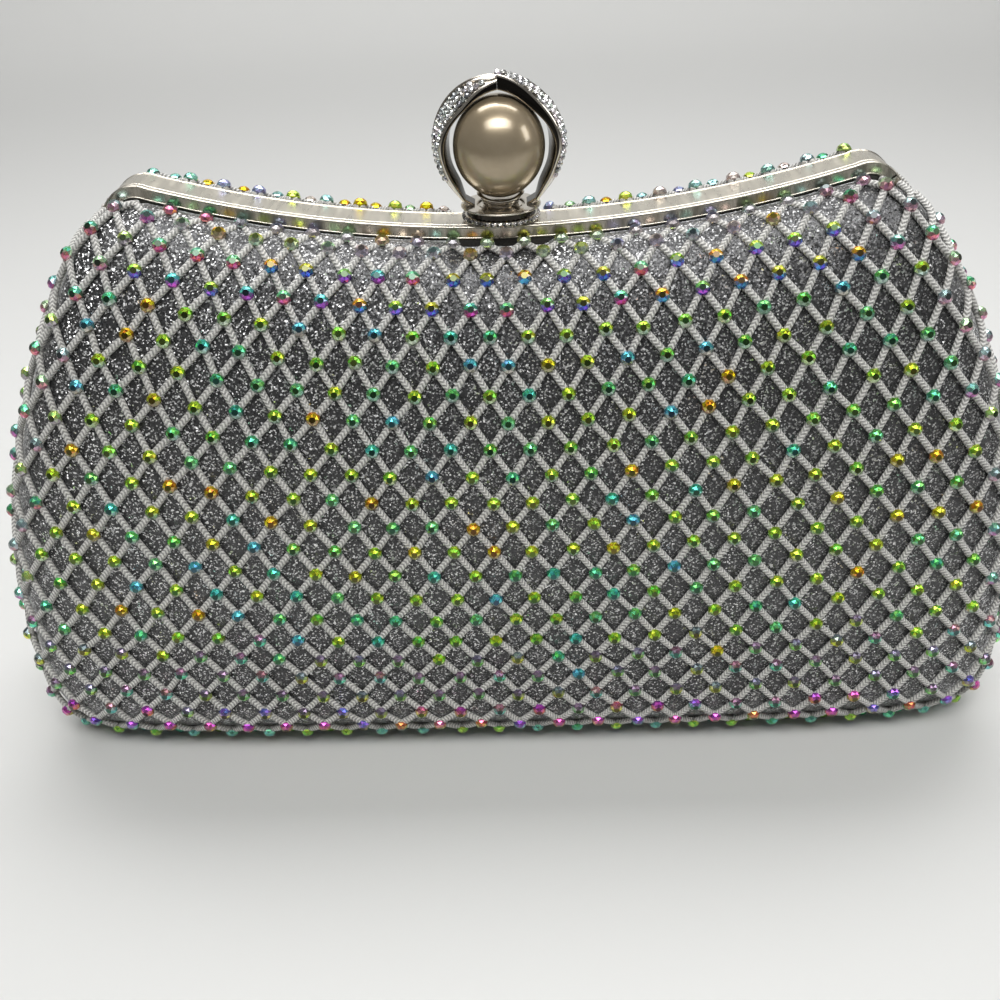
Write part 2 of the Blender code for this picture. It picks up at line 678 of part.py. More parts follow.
def band_section(side, place):
    """A band's section as (radius, y) points: a bulged outer face, a front wall and an opening."""
    outer = RING_RADIUS * smooth_through(BAND_OUTER_SHARES[side], place)
    rim = RING_RADIUS * smooth_through(BAND_RIM_SHARES[side], place)
    mouth = RING_RADIUS * smooth_through(BAND_MOUTH_SHARES[side], place)
    throat = RING_RADIUS * smooth_through(BAND_THROAT_SHARES, place)
    front = -BAND_HALF_DEPTH * smooth_through(BAND_FORTH_SHARES, place)
    back = BAND_HALF_DEPTH * smooth_through(BAND_BACK_SHARES[side], place)
    return [
        (mouth, front + BAND_EDGE), (rim - BAND_EDGE, front), (rim, front + BAND_EDGE),
        ((rim + outer) / 2 + BAND_BULGE, (front + back) / 2),
        (outer, back - BAND_EDGE), (outer - BAND_EDGE, back), (throat, back),
    ]


def make_band(name, side, group):
    """One of the ring's two bands: from the drum, round the pearl, to a mitre at the top."""
    drop = RING_Z - BAND_FOOT_Z
    rings = []
    for i in range(BAND_STEPS + 1):
        place = (len(BAND_STATIONS) - 1) * i / BAND_STEPS
        angle = smooth_through(BAND_STATIONS, place)
        ring = []
        for radius, y in band_section(side, place):
            out = radius * math.sin(angle) if i else math.sqrt(radius ** 2 - drop ** 2)
            up = -radius * math.cos(angle) if i else -drop
            ring.append(Vector((side * (out + GAP / 2), y, RING_Z + up)))
        rings.append(ring)
    return piece(name, loft(rings), "polished_nickel", group)


def make_cup(group):
    """The ridged cup between the drum and the pearl."""
    top = CUP_BOTTOM + CUP_HEIGHT
    waist = CUP_BOTTOM + CUP_HEIGHT / 2
    profile = [
        (0, CUP_DISH_Z), (CUP_NECK_RADIUS / 2, CUP_DISH_Z + CUP_RIDGE / 2),
        (CUP_NECK_RADIUS, top - CUP_RIDGE), (CUP_RADIUS - CUP_RIDGE, top),
        (CUP_RADIUS, top - CUP_RIDGE), (CUP_NECK_RADIUS, top - 2 * CUP_RIDGE),
        (CUP_NECK_RADIUS + CUP_RIDGE, waist), (CUP_NECK_RADIUS, waist - CUP_RIDGE),
        (CUP_RADIUS, CUP_BOTTOM + CUP_RIDGE), (CUP_RADIUS, CUP_BOTTOM), (0, CUP_BOTTOM),
    ]
    return turned("pearl_cup", profile, "polished_nickel", group)


def make_pearl(group, tools):
    form = bmesh.new()
    bmesh.ops.create_uvsphere(form, u_segments=TURNED_STEPS, v_segments=TURNED_STEPS // 2,
                              radius=PEARL_RADIUS)
    stretch = PEARL_HALF_HEIGHT / PEARL_RADIUS
    bmesh.ops.scale(form, vec=(1, 1, stretch), verts=form.verts)
    bmesh.ops.translate(form, vec=(0, 0, PEARL_Z), verts=form.verts)
    pearl = piece("pearl", form, "pearl_coat", group)
    top = PEARL_BOTTOM + POST_LENGTH
    hole = POST_RADIUS + PEARL_HOLE_CLEARANCE
    mouth = PEARL_BOTTOM - OVERRUN
    bore = [(0, top + GAP), (hole, top + GAP), (hole, mouth), (0, mouth)]
    cutter = turned("pearl_hole", bore, "pearl_coat", tools)
    cutter.hide_render = True
    cutter.display_type = "WIRE"
    combine(pearl, cutter, "DIFFERENCE")
    profile = [(0, top), (POST_RADIUS, top), (POST_RADIUS, PEARL_BOTTOM), (0, PEARL_BOTTOM)]
    return pearl, turned("pearl_post", profile, "polished_nickel", group)


def smooth_round_pieces(things):
    for thing in things:
        thing.data.shade_smooth()
        thing.data.set_sharp_from_angle(angle=SHARP_ANGLE)


def main():
    clear_scene()
    group = collection("clutch_bag")
    tools = collection("clutch_bag_cutters")

    front_skins = make_half("front", -1, SEAT_Y + FRONT_SEAM_Y, group)
    rear_skins = make_half("rear", 1, SEAT_Y - REAR_SEAM_Y, group)
    pocket = make_pocket(group)
    front_frame, rear_frame = make_frames(group, tools)
    front_leaf, hinge_pin = make_hinge(group, tools)
    catch = make_catch(group, tools)

    make_lug("clasp_lug_left", -1, group, tools)
    make_lug("clasp_lug_right", 1, group, tools)
    reach = EYE_OUTER_REACH + GAP + LUG_THICKNESS + CLASP_PIN_OVERHANG
    pin = rod_along_x(CLASP_PIN_RADIUS, -reach, reach, CLASP_AXIS_Y, CLASP_AXIS_Z)
    clasp_pin = piece("clasp_pin", pin, "hinge_steel", group)
    make_clasp_spring(group)
    drum = make_drum(group, tools)
    tongue = make_tongue(group)
    bands = [make_band("left_band", -1, group), make_band("right_band", 1, group)]
    cup = make_cup(group)
    pearl, post = make_pearl(group, tools)

    front_pivot = bpy.data.objects.new("front_half_pivot", None)
    front_pivot.location = (0, SEAM_Y, HINGE_Z)
    clasp_pivot = bpy.data.objects.new("clasp_pivot", None)
    clasp_pivot.location = (0, CLASP_AXIS_Y, CLASP_AXIS_Z)
    for pivot in (front_pivot, clasp_pivot):
        group.objects.link(pivot)
    bpy.context.view_layer.update()
    for thing in front_skins + [front_frame, front_leaf, catch]:
        hang_on(thing, front_pivot)
    for thing in [drum, tongue, cup, pearl, post] + bands:
        hang_on(thing, clasp_pivot)
    round_pieces = [pocket, front_frame, rear_frame, hinge_pin, clasp_pin, drum, cup, pearl, post]
    smooth_round_pieces(front_skins + rear_skins + round_pieces + bands)


main()
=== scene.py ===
"""The looks of the evening clutch bag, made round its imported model.

Lengths are in metres. X runs along the bag, -Y is its front and Z is up.
"""
import math
import random

import bmesh
import bpy
import numpy as np
from mathutils import Matrix, Vector


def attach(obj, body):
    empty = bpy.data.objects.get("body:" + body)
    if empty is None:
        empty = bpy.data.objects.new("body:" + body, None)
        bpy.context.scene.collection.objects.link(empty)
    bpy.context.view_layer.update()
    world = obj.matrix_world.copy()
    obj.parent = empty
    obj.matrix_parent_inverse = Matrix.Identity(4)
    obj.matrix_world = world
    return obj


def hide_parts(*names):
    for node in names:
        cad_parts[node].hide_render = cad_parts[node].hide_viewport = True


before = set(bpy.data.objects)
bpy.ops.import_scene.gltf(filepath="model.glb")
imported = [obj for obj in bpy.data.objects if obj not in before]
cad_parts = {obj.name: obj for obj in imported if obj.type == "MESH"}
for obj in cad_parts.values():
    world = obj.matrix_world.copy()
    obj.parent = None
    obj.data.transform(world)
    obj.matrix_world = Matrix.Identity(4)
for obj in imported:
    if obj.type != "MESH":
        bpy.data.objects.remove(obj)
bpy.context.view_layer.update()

MM = 0.001
FRONT, REAR = -1, 1
LEFT, RIGHT = -1, 1
SEED = 11

# The covered halves, as the solids have them. From its seat at the rail each goes over the crown
# to the belly, round the foot and in under the base, and its lip turns in towards the other half.
# An inset is how far a layer lies inside the outer level, where the net's cords end.
HALF_WIDTH = 0.106
HALF_DEPTH = 0.028
SEAT_HEIGHT = 0.1087
SEAT_Y = 0.0049
WIDEST_HEIGHT = 0.0228
BELLY_HEIGHT = 0.034
FOOT_HEIGHT = 0.0139
FOOT_RUN = 0.012
BASE_CORNER_RUN = 0.010
FLANK_DRAW = 0.0318
SHOULDER_RADIUS = 0.0087
TOP_REACH = HALF_WIDTH - FLANK_DRAW - SHOULDER_RADIUS
TOP_RISE = 0.0093
RISE_EASE = 0.18
SECTION_POWER = 5.5
LEAST_RUN = 0.0005
LIP_START = 0.0045
LIP_FULL = 0.0095
LIP_FADE = 0.086
LIP_END = 0.097
LIPS = {FRONT: 0.00175, REAR: 0.00775}
COVER_THICKNESS = 0.0020
CROWN_LIFTS = {FRONT: 0.0, REAR: 0.0028}
CLOTH_CROWN_LIFTS = {FRONT: 0.0012, REAR: 0.0028}
CROWN_DROP = 0.0085
CROWN_NOTCH = 0.0082
CROWN_NOTCH_EASE = 0.0018
CROWN_END_EASE = 0.004
CROWN_END = TOP_REACH + CROWN_END_EASE
LINING_INSET = 0.0040
LINING_THICKNESS = 0.0007
POCKET_INSET = 0.0050
POCKET_THICKNESS = 0.0006
POCKET_START = 0.36
POCKET_END = 0.72
HEM_RADIUS = 0.0007
HEM_REACH_SHARE = 0.985
CREASE_DEPTH = 0.0009
CREASE_FADE_TOP = 0.02
CREASE_FADE_BASE = 0.012
CREASE_FADE_SIDE_SHARE = 0.12

# How finely the surfaces are sampled and the cloths meshed
CROWN_SAMPLES = 150
BELLY_SAMPLES = 30
FOOT_SAMPLES = 50
BASE_SAMPLES = 30
SECTION_SAMPLES = 150
COLUMN_SAMPLES = 241
SHEET_SAMPLES = 200
CLOTH_MESH = (110, 160)
LINING_MESH = (70, 120)
POCKET_MESH = (30, 90)
EDGE_CROWDING = 0.55
HEM_POINTS = 120
EDGE_CORD_SIDE_POINTS = 120
EDGE_CORD_BASE_POINTS = 90

# The rails, as the solids have them
RAIL_TOP = 0.1110
RAIL_BASE = 0.0039
RAIL_INSET = 0.0023
RAIL_CORNER = 0.0065
LEAST_CORNER = 0.0015
RAIL_SEAMS = {FRONT: 0.00315, REAR: -0.00285}
RAIL_TOP_STEPS = 60
RAIL_CORNER_STEPS = 14
RAIL_SIDE_STEPS = 40
RAIL_CORNER_HALVINGS = 40
LATCH_SLOT = (0.0062, 0.0032, 0.004)
LATCH_SLOT_PLACE = (0, -0.0004, RAIL_TOP - 0.0015)

# The net and its stones. A half row is the drop from one row of crossings to the next. Those of
# one row are a column width apart, which grows down the bag, and the upper left is drawn tighter.
CLOTH_INSET = 0.0015
CORD_RADIUS = 0.00069
BASE_LIFT = 0.0009
FIRST_ROWS = (0.0012, 0.0044, 0.0093)
HALF_ROW = 0.00534
LOW_HALF_ROW = 0.00472
LOW_ROWS_START = 0.084
COLUMN_DOWNS = (0.009, 0.050, 0.112)
COLUMN_WIDTHS = (0.00705, 0.0077, 0.00855)
STONE_RADIUS = 0.00143
STONE_SINK = 0.00035
NET_SHIFT = 0.0006
NET_ERROR = 0.00018
NET_COLUMNS = 36
LEFT_TIGHTNESS = 0.07
TIGHT_DOWN = 0.045
CORD_STEPS = 5
CORD_SIDES = 6
CORD_LOOP = 0.0008
EDGE_HALVINGS = 12
EDGE_CORD_RADIUS = 0.00065
EDGE_CORD_SIDES = 8
EDGE_CORD_START = 0.020
EDGE_CORD_BACK = 0.0009

# Where the net has stones: from under the rail to the base, short of its edges and of the lugs
FIRST_STONE_DOWN = 0.0004
STONE_BASE_MARGIN = 0.001
STONE_EDGE_MARGIN = 0.0012
LUGS_DOWN = 0.0075
LUGS_OUT = 0.0085
STONE_FACETS = 8
STONE_TILT = 0.05

# Where the stones' colours change, down the bag and as a share of the way out, how ragged those
# borders are, and how far up the bag a facet must lean to have the upper one of its two colours
# The stones' colours are painted reflections of their coat, as the light falls on each part of the
# bag.
TOP_END = 0.006
UPPER_END = 0.0165
LOWER_START, LOWER_RAGGED = 0.087, 0.003
FOOT_START, FOOT_RAGGED = 0.103, 0.002
UNDER_START = 0.110
SIDE_START_SHARE, SIDE_RAGGED_SHARE = 0.80, 0.02
PLAIN_SPLIT = -0.10
COAT_SPLITS = {"lower": 0.25, "foot": 0.35}

# The clasp, as the solids have it: the bands' radii are shares of the ring's, from foot to tip
DRUM_BOTTOM = 0.1114
DRUM_TOP = 0.1141
DRUM_RADIUS = 0.0076
DRUM_FOOT_RADIUS = 0.0070
GROOVE_RADIUS = 0.0065
DRUM_LIP_BEAD = 0.0002
DRUM_FOOT_BEAD = 0.00046
DRUM_FOOT_BEAD_Z = DRUM_BOTTOM + 0.00052
GROOVE_FLOOR_Z = DRUM_BOTTOM + 0.00105
DISH_RADIUS = 0.0045
DISH_DEPTH = 0.0006
CUP_BOTTOM = 0.1138
CUP_HEIGHT = 0.0022
CUP_TOP = CUP_BOTTOM + CUP_HEIGHT
CUP_RADIUS = 0.0045
CUP_RIDGES = 3
CUP_RIDGE_SIZE = 0.00024
CUP_RIDGE_DROP = 0.00052
CUP_TAPER = 0.00020
CUP_LIP_DRAW = 0.00035
PEARL_RADIUS = 0.00855
PEARL_HALF_HEIGHT = 0.0093
PEARL_Z = 0.1247
PEARL_STEPS = 56
RING_RADIUS = 0.0124
RING_Z = 0.1257
BAND_FOOT_Z = 0.1144
BAND_GAP = 0.00005
BAND_HALF_DEPTH = 0.0026
BAND_EDGE = 0.0003
BAND_BULGE = 0.0003
BAND_STEPS = 120
BAND_STATIONS = [math.radians(angle) for angle in (32, 45, 67, 90, 135, 180)]
BAND_OUTER_SHARES = {LEFT: (1.073, 1.040, 1.016, 1.0, 0.960, 0.935),
                     RIGHT: (1.073, 1.040, 1.016, 1.0, 0.927, 0.935)}
BAND_RIM_SHARES = {LEFT: (1.040, 0.960, 0.903, 0.871, 0.742, 0.879),
                   RIGHT: (1.040, 0.960, 0.910, 0.911, 0.831, 0.960)}
BAND_MOUTH_SHARES = {LEFT: (0.992, 0.903, 0.847, 0.798, 0.680, 0.750),
                     RIGHT: (0.992, 0.903, 0.850, 0.823, 0.680, 0.750)}
BAND_THROAT_SHARES = (0.992, 0.855, 0.790, 0.742, 0.698, 0.742)
BAND_FORTH_SHARES = (0.73, 0.88, 1.0, 1.08, 1.12, 0.96)
BAND_BACK_SHARES = {LEFT: (0.73, 0.88, 0.96, 1.0, 1.0, 0.25),
                    RIGHT: (0.73, 0.88, 0.96, 1.0, 1.0, 1.0)}

# The bands' channel and its stones, whose spacing is in shares of their radius, and the drum's
LINE_WIDTH = 0.0003
TWIN_LINES_WIDTH = 0.0009
CHANNEL_DEPTH = 0.0003
STONES_START = math.radians(57)
CHANNEL_RUN_IN = math.radians(8)
LEAF_NARROWS = math.radians(150)
LEAF_ENDS = math.radians(181)
LEAF_NARROWING = 0.8
PAVE_RADIUS = 0.00064
PAVE_STEPS = 1500
PAVE_MARGIN = 0.00012
PAVE_ROW_SHARE = 1.76
PAVE_PITCH_SHARE = 1.96
PAVE_ROOM_SHARE = 1.3
PAVE_LIFT_SHARE = 0.10
PAVE_SPREAD = 0.6
PAVE_TILT = 0.10
DRUM_STONES = 40
DRUM_STONE_RADIUS = 0.00052
DRUM_STONE_SINK = 0.00002
DRUM_STONE_LEAN = 0.15

# The camera, fitted to the photograph's outline, rails and net
CAMERA_PLACE = (0.0023, -0.2140, 0.1780)
CAMERA_PITCH = math.radians(31.22)
CAMERA_ROLL = math.radians(-2.216)
CAMERA_YAW = math.radians(-1.242)
CAMERA_LENS = 41.1

# The paper that the bag stands on: how far it reaches, and where it bends up behind
SWEEP_REACH = 3.0
SWEEP_START_Y = 0.9
SWEEP_BEND = 0.5
SWEEP_STEPS = 12


# Helpers for meshes and materials

def put(name, mesh):
    thing = bpy.data.objects.new(name, mesh)
    bpy.context.scene.collection.objects.link(thing)
    return thing


def mesh_of(name, points, faces):
    """A smooth mesh, its doubled points merged and its faces turned outward."""
    mesh = bpy.data.meshes.new(name)
    mesh.from_pydata([tuple(point) for point in points], [], faces)
    form = bmesh.new()
    form.from_mesh(mesh)
    bmesh.ops.remove_doubles(form, verts=form.verts, dist=1e-6)
    bmesh.ops.recalc_face_normals(form, faces=form.faces)
    form.to_mesh(mesh)
    form.free()
    mesh.shade_smooth()
    return mesh


def loft(name, rings, sharp, closed=False):
    """A skin through like rings of points, with flat ends, or closed on its first ring."""
    count = len(rings[0])
    points = [point for ring in rings for point in ring]
    faces = []
    last = len(rings) if closed else len(rings) - 1
    for k in range(last):
        a, b = k * count, (k + 1) % len(rings) * count
        for i in range(count):
            j = (i + 1) % count
            faces.append((a + i, a + j, b + j, b + i))
    if not closed:
        faces.append(tuple(range(count)))
        faces.append(tuple(range(len(points) - count, len(points))))
    mesh = mesh_of(name, points, faces)
    mesh.set_sharp_from_angle(angle=sharp)
    return put(name, mesh)


def turned(name, profile, steps=96, sharp=math.radians(35)):
    """Turn a profile of (radius, height) points, from the top down, about the Z axis."""
    points = []
    for k in range(steps):
        turn = 2 * math.pi * k / steps
        points += [(r * math.cos(turn), r * math.sin(turn), z) for r, z in profile]
    count = len(profile)
    faces = []
    for k in range(steps):
        a, b = k * count, (k + 1) % steps * count
        for i in range(count - 1):
            faces.append((a + i, b + i, b + i + 1, a + i + 1))
    mesh = mesh_of(name, points, faces)
    mesh.set_sharp_from_angle(angle=sharp)
    return put(name, mesh)


def linear(colour):
    """An sRGB hex colour as the linear colour that the shaders take."""
    parts = [int(colour[i:i + 2], 16) / 255 for i in (0, 2, 4)]
    return [p / 12.92 if p <= 0.04045 else ((p + 0.055) / 1.055) ** 2.4 for p in parts] + [1.0]


def add(tree, kind, links=(), **settings):
    """Add a node: settings name its own properties, links its inputs, by name or in their order."""
    node = tree.nodes.new(kind)
    for name, value in settings.items():
        setattr(node, name, value)
    for key, value in (links if isinstance(links, dict) else dict(enumerate(links))).items():
        socket = node.inputs[key]
        if isinstance(value, bpy.types.NodeSocket):
            tree.links.new(value, socket)
        else:
            socket.default_value = value
    return node


def start_material(name, **shader_values):
    """A material with its one shader, and that shader's plain values set."""
    material = bpy.data.materials.new(name)
    material.use_nodes = True
    shader = material.node_tree.nodes["Principled BSDF"]
    for key, value in shader_values.items():
        shader.inputs[key.replace("_", " ")].default_value = value
    return material, material.node_tree, shader


def grain(tree, per_mm, detail):
    """A cloudy pattern fixed to the piece: its waves to the millimetre along X, Y and Z."""
    place = add(tree, "ShaderNodeTexCoord").outputs["Object"]
    scale = [count / MM for count in per_mm]
    drawn = add(tree, "ShaderNodeMapping", {"Vector": place, "Scale": scale})
    return add(tree, "ShaderNodeTexNoise",
               {"Vector": drawn.outputs[0], "Scale": 1.0, "Detail": detail}).outputs["Fac"]


def show(tree, shader, level, colours=None, rough=None, bump=None):
    """Let a pattern's level show in a finish.

    It goes from the first colour to the second as the level goes from 0 to 1. Rough holds two
    levels and the roughness at each, and bump a strength and a height in metres.
    """
    if colours:
        shade = add(tree, "ShaderNodeMix", {0: level, 6: linear(colours[0]), 7: linear(colours[1])},
                    data_type="RGBA")
        tree.links.new(shade.outputs[2], shader.inputs["Base Color"])
    if rough:
        haze = add(tree, "ShaderNodeMapRange", (level, *rough))
        tree.links.new(haze.outputs[0], shader.inputs["Roughness"])
    if bump:
        relief = add(tree, "ShaderNodeBump",
                     {"Height": level, "Strength": bump[0], "Distance": bump[1]})
        tree.links.new(relief.outputs[0], shader.inputs["Normal"])


def wear(thing, *materials):
    thing.data.materials.clear()
    for material in materials:
        thing.data.materials.append(material)


# Materials

def glitter_cloth():
    """Glitter cloth: metallised flecks of about 0.3 mm on charcoal.

    Most lie flat, so that the cloth is pale where it turns up to the light and dark on its face.
    A few lean out of line and sparkle.
    """
    material, tree, shader = start_material("charcoal_glitter_cloth", Sheen_Weight=1.0,
                                            Sheen_Roughness=0.4)
    place = add(tree, "ShaderNodeTexCoord").outputs["Object"]
    fleck = add(tree, "ShaderNodeTexVoronoi", {"Vector": place, "Scale": 3.5 / MM}).outputs["Color"]
    parts = add(tree, "ShaderNodeSeparateColor", (fleck,)).outputs
    bright = add(tree, "ShaderNodeMapRange", (parts[0], 0.72, 0.94, 0.0, 1.0))
    show(tree, shader, bright.outputs[0], ("484849", "F4F4F4"))
    show(tree, shader, parts[1], rough=(0.0, 1.0, 0.22, 0.50))
    metal = add(tree, "ShaderNodeMapRange", (parts[0], 0.50, 0.85, 0.65, 0.85))
    tree.links.new(metal.outputs[0], shader.inputs["Metallic"])
    middle = add(tree, "ShaderNodeVectorMath", (fleck, (0.5, 0.5, 0.5)), operation="SUBTRACT")
    stray = add(tree, "ShaderNodeMapRange", (parts[0], 0.60, 0.85, 0.35, 0.90))
    lean = add(tree, "ShaderNodeVectorMath", {0: middle.outputs[0], "Scale": stray.outputs[0]},
               operation="SCALE")
    facing = add(tree, "ShaderNodeNewGeometry").outputs["Normal"]
    tipped = add(tree, "ShaderNodeVectorMath", (facing, lean.outputs[0]), operation="ADD")
    unit = add(tree, "ShaderNodeVectorMath", (tipped.outputs[0],), operation="NORMALIZE")
    tree.links.new(unit.outputs[0], shader.inputs["Normal"])
    return material


def net_cord():
    """Knitted polyester cord: pale grey and dull, with slanting loops 0.8 mm apart and fluff."""
    material, tree, shader = start_material("grey_knitted_cord", Roughness=0.75, Sheen_Weight=0.25,
                                            Sheen_Roughness=0.5)
    along = add(tree, "ShaderNodeAttribute", attribute_name="along").outputs["Fac"]
    wale = add(tree, "ShaderNodeAttribute", attribute_name="wale").outputs["Fac"]
    turns = add(tree, "ShaderNodeMath", (along, 2 * math.pi / CORD_LOOP), operation="MULTIPLY")
    phase = add(tree, "ShaderNodeMath", (wale, 2.0, turns.outputs[0]), operation="MULTIPLY_ADD")
    wave = add(tree, "ShaderNodeMath", (phase.outputs[0],), operation="SINE")
    fuzz = grain(tree, (2.6, 2.6, 2.6), 3.0)
    both = add(tree, "ShaderNodeMath", (fuzz, 2.2, wave.outputs[0]), operation="MULTIPLY_ADD")
    show(tree, shader, both.outputs[0], bump=(0.7, 0.1 * MM))
    level = add(tree, "ShaderNodeMapRange", (both.outputs[0], 0.0, 2.1, 0.0, 1.0))
    show(tree, shader, level.outputs[0], ("8C8B88", "E8E6E1"))
    return material


def facet_chance(tree):
    """Chance numbers of one facet of one stone."""
    stone = add(tree, "ShaderNodeAttribute", attribute_name="stone_chance").outputs["Fac"]
    facet = add(tree, "ShaderNodeAttribute", attribute_name="facet_number").outputs["Fac"]
    both = add(tree, "ShaderNodeCombineXYZ", (stone, facet))
    return add(tree, "ShaderNodeTexWhiteNoise", {"Vector": both.outputs[0]}, noise_dimensions="2D")


def painted_facet_light(tree, colour):
    """A colour with a painted glint, as bright as one facet of one stone catches the light: no two
    stones catch it alike.
    """
    painted_glint = add(tree, "ShaderNodeAttribute", attribute_name="facet_painted_glint").outputs["Fac"]
    chance = facet_chance(tree).outputs["Value"]
    share = add(tree, "ShaderNodeMapRange", (chance, 0.0, 1.0, 0.45, 1.5))
    light = add(tree, "ShaderNodeMath", (share.outputs[0], painted_glint), operation="MULTIPLY")
    return add(tree, "ShaderNodeVectorMath", {0: colour, "Scale": light.outputs[0]},
               operation="SCALE").outputs[0]


def coated_rhinestone():
    """Cut glass with an iridescent coat on foil: each facet's colour of its own is a painted
    reflection, set by the stone's place and the facet's lean.
    """
    material, tree, shader = start_material("iridescent_rhinestone", Metallic=0.75, Roughness=0.23,
                                            Coat_Weight=0.25, Coat_Roughness=0.05)
    upper = add(tree, "ShaderNodeAttribute", attribute_name="upper_painted_colour").outputs["Color"]
    lower = add(tree, "ShaderNodeAttribute", attribute_name="lower_painted_colour").outputs["Color"]
    lean = add(tree, "ShaderNodeAttribute", attribute_name="facet_lean").outputs["Fac"]
    split = add(tree, "ShaderNodeAttribute", attribute_name="coat_split").outputs["Fac"]
    above = add(tree, "ShaderNodeMath", (lean, split), operation="SUBTRACT")
    share = add(tree, "ShaderNodeMapRange", (above.outputs[0], -0.35, 0.35, 0.0, 1.0))
    hue = add(tree, "ShaderNodeMix", {0: share.outputs[0], 6: lower, 7: upper}, data_type="RGBA")
    parts = add(tree, "ShaderNodeSeparateColor", (facet_chance(tree).outputs["Color"],))
    shift = add(tree, "ShaderNodeMapRange", (parts.outputs[2], 0.0, 1.0, 0.44, 0.56))
    mixed = add(tree, "ShaderNodeHueSaturation", {"Hue": shift.outputs[0], "Color": hue.outputs[2]})
    tree.links.new(painted_facet_light(tree, mixed.outputs[0]), shader.inputs["Base Color"])
    return material


def clear_rhinestone():
    """Clear cut glass on silver foil, as small pavé stones are, with painted glints for their
    brightness.
    """
    material, tree, shader = start_material("clear_pave_rhinestone", Metallic=0.85, Roughness=0.15,
                                            Coat_Weight=0.5, Coat_Roughness=0.03)
    painted_glints = add(tree, "ShaderNodeAttribute", attribute_name="upper_painted_colour").outputs["Color"]
    tree.links.new(painted_facet_light(tree, painted_glints), shader.inputs["Base Color"])
    return material


def polished_nickel():
    """Nickel plate on cast zinc, buffed: warm grey, with the slight waves and haze of polishing."""
    material, tree, shader = start_material("polished_nickel_plate", Metallic=1.0,
                                            Base_Color=linear("D2CBBF"))
    show(tree, shader, grain(tree, (0.16, 0.16, 0.16), 3.0), rough=(0.3, 0.7, 0.12, 0.24))
    show(tree, shader, grain(tree, (0.26, 0.26, 0.26), 1.0), bump=(0.35, 0.4 * MM))
    return material


def worn_nickel():
    """Nickel plate on the rails, hazed by cloths and fingers: soft streaks about 1 mm wide."""
    material, tree, shader = start_material("hazed_nickel_plate", Metallic=1.0)
    streaks = grain(tree, (0.90, 0.12, 0.12), 3.0)
    clouds = grain(tree, (0.13, 0.13, 0.13), 3.0)
    both = add(tree, "ShaderNodeMath", (streaks, clouds), operation="MULTIPLY")
    show(tree, shader, both.outputs[0], rough=(0.12, 0.40, 0.20, 0.42))
    show(tree, shader, streaks, ("BEB8AC", "DFD9CC"))
    return material


def nickel_painted_dark_for_shade():
    """The plate in the clasp's recesses and on its inner walls, painted dark as shade and dark
    reflection, and smooth.
    """
    material, tree, shader = start_material("nickel_plate_painted_dark_for_shade", Metallic=1.0)
    show(tree, shader, grain(tree, (0.22, 0.22, 0.22), 3.0), ("2A2826", "4A4640"),
         rough=(0.3, 0.7, 0.10, 0.20))
    return material


def nickel_painted_darker_face():
    """The rails' front face: its plate painted darker than the top as shade, with grey streaks
    about 1 mm wide down it.
    """
    material, tree, shader = start_material("nickel_plate_painted_darker_face", Metallic=1.0)
    streaks = grain(tree, (0.70, 0.12, 0.16), 4.0)
    level = add(tree, "ShaderNodeMapRange", (streaks, 0.35, 0.65, 0.0, 1.0))
    show(tree, shader, level.outputs[0], ("8E887D", "CCC5B8"))
    show(tree, shader, streaks, rough=(0.3, 0.7, 0.34, 0.20))
    return material


def cast_zinc_painted_dark():
    """The rails' inner flange: cast zinc as it leaves the mould, unpolished, its colour painted
    dark as the shade in the gap beneath the rail.

    Its grain, about 0.1 mm, is drawn as 0.4 mm, so that it shows.
    """
    material, tree, shader = start_material("cast_zinc_painted_dark", Metallic=0.8, Roughness=0.62)
    show(tree, shader, grain(tree, (2.5, 2.5, 2.5), 2.0), ("3C3B39", "6A6864"),
         bump=(0.4, 0.1 * MM))
    return material


def plated_steel():
    """Drawn steel with thin plating: duller than the rails, with lines along the bag.

    The lines, under 0.05 mm, are drawn as 0.17 mm, so that they show.
    """
    material, tree, shader = start_material("drawn_steel_plate", Metallic=1.0, Roughness=0.38)
    show(tree, shader, grain(tree, (0.2, 6.0, 6.0), 2.0), ("8C8C8A", "C6C6C2"),
         bump=(0.3, 0.05 * MM))
    return material


def pearl_lacquer():
    """Pearl lacquer on a glass bead: a satin champagne body under a glossy clear coat."""
    material, tree, shader = start_material("champagne_pearl_lacquer", Metallic=0.55,
                                            Roughness=0.27, Coat_Weight=1.0, Coat_Roughness=0.06,
                                            Coat_Tint=linear("F6EEE0"))
    show(tree, shader, grain(tree, (0.19, 0.19, 0.19), 4.0), ("9E9482", "C2B8A6"))
    return material


def satin():
    """Polyester satin: fine diagonal floats 0.35 mm apart, drawn twice as coarse as they are."""
    material, tree, shader = start_material("grey_satin", Roughness=0.42, Sheen_Weight=0.35,
                                            Sheen_Roughness=0.35)
    place = add(tree, "ShaderNodeTexCoord").outputs["Object"]
    slanted = add(tree, "ShaderNodeMapping",
                  {"Vector": place, "Rotation": (0.0, math.radians(27), 0.0)})
    weave = add(tree, "ShaderNodeTexWave", {"Vector": slanted.outputs[0], "Scale": 0.9 / MM,
                                            "Distortion": 1.2, "Detail": 1.0}, bands_direction="X")
    show(tree, shader, weave.outputs["Fac"], ("8F9094", "A9AAAE"), bump=(0.25, 0.05 * MM))
    return material


def fibre_board():
    """Pressed grey-brown fibre board: matt, with darker fibres 1 to 3 mm long."""
    material, tree, shader = start_material("pressed_fibre_board", Roughness=0.9)
    show(tree, shader, grain(tree, (0.5, 1.5, 1.5), 4.0), ("7F776A", "B3AA9B"),
         bump=(0.4, 0.1 * MM))
    return material


def matt_paper():
    """Photographer's background paper: matt and pale, with nothing printed on it."""
    return start_material("pale_background_paper", Roughness=0.8, Specular_IOR_Level=0.2,
                          Base_Color=linear("D0D0CE"))[0]


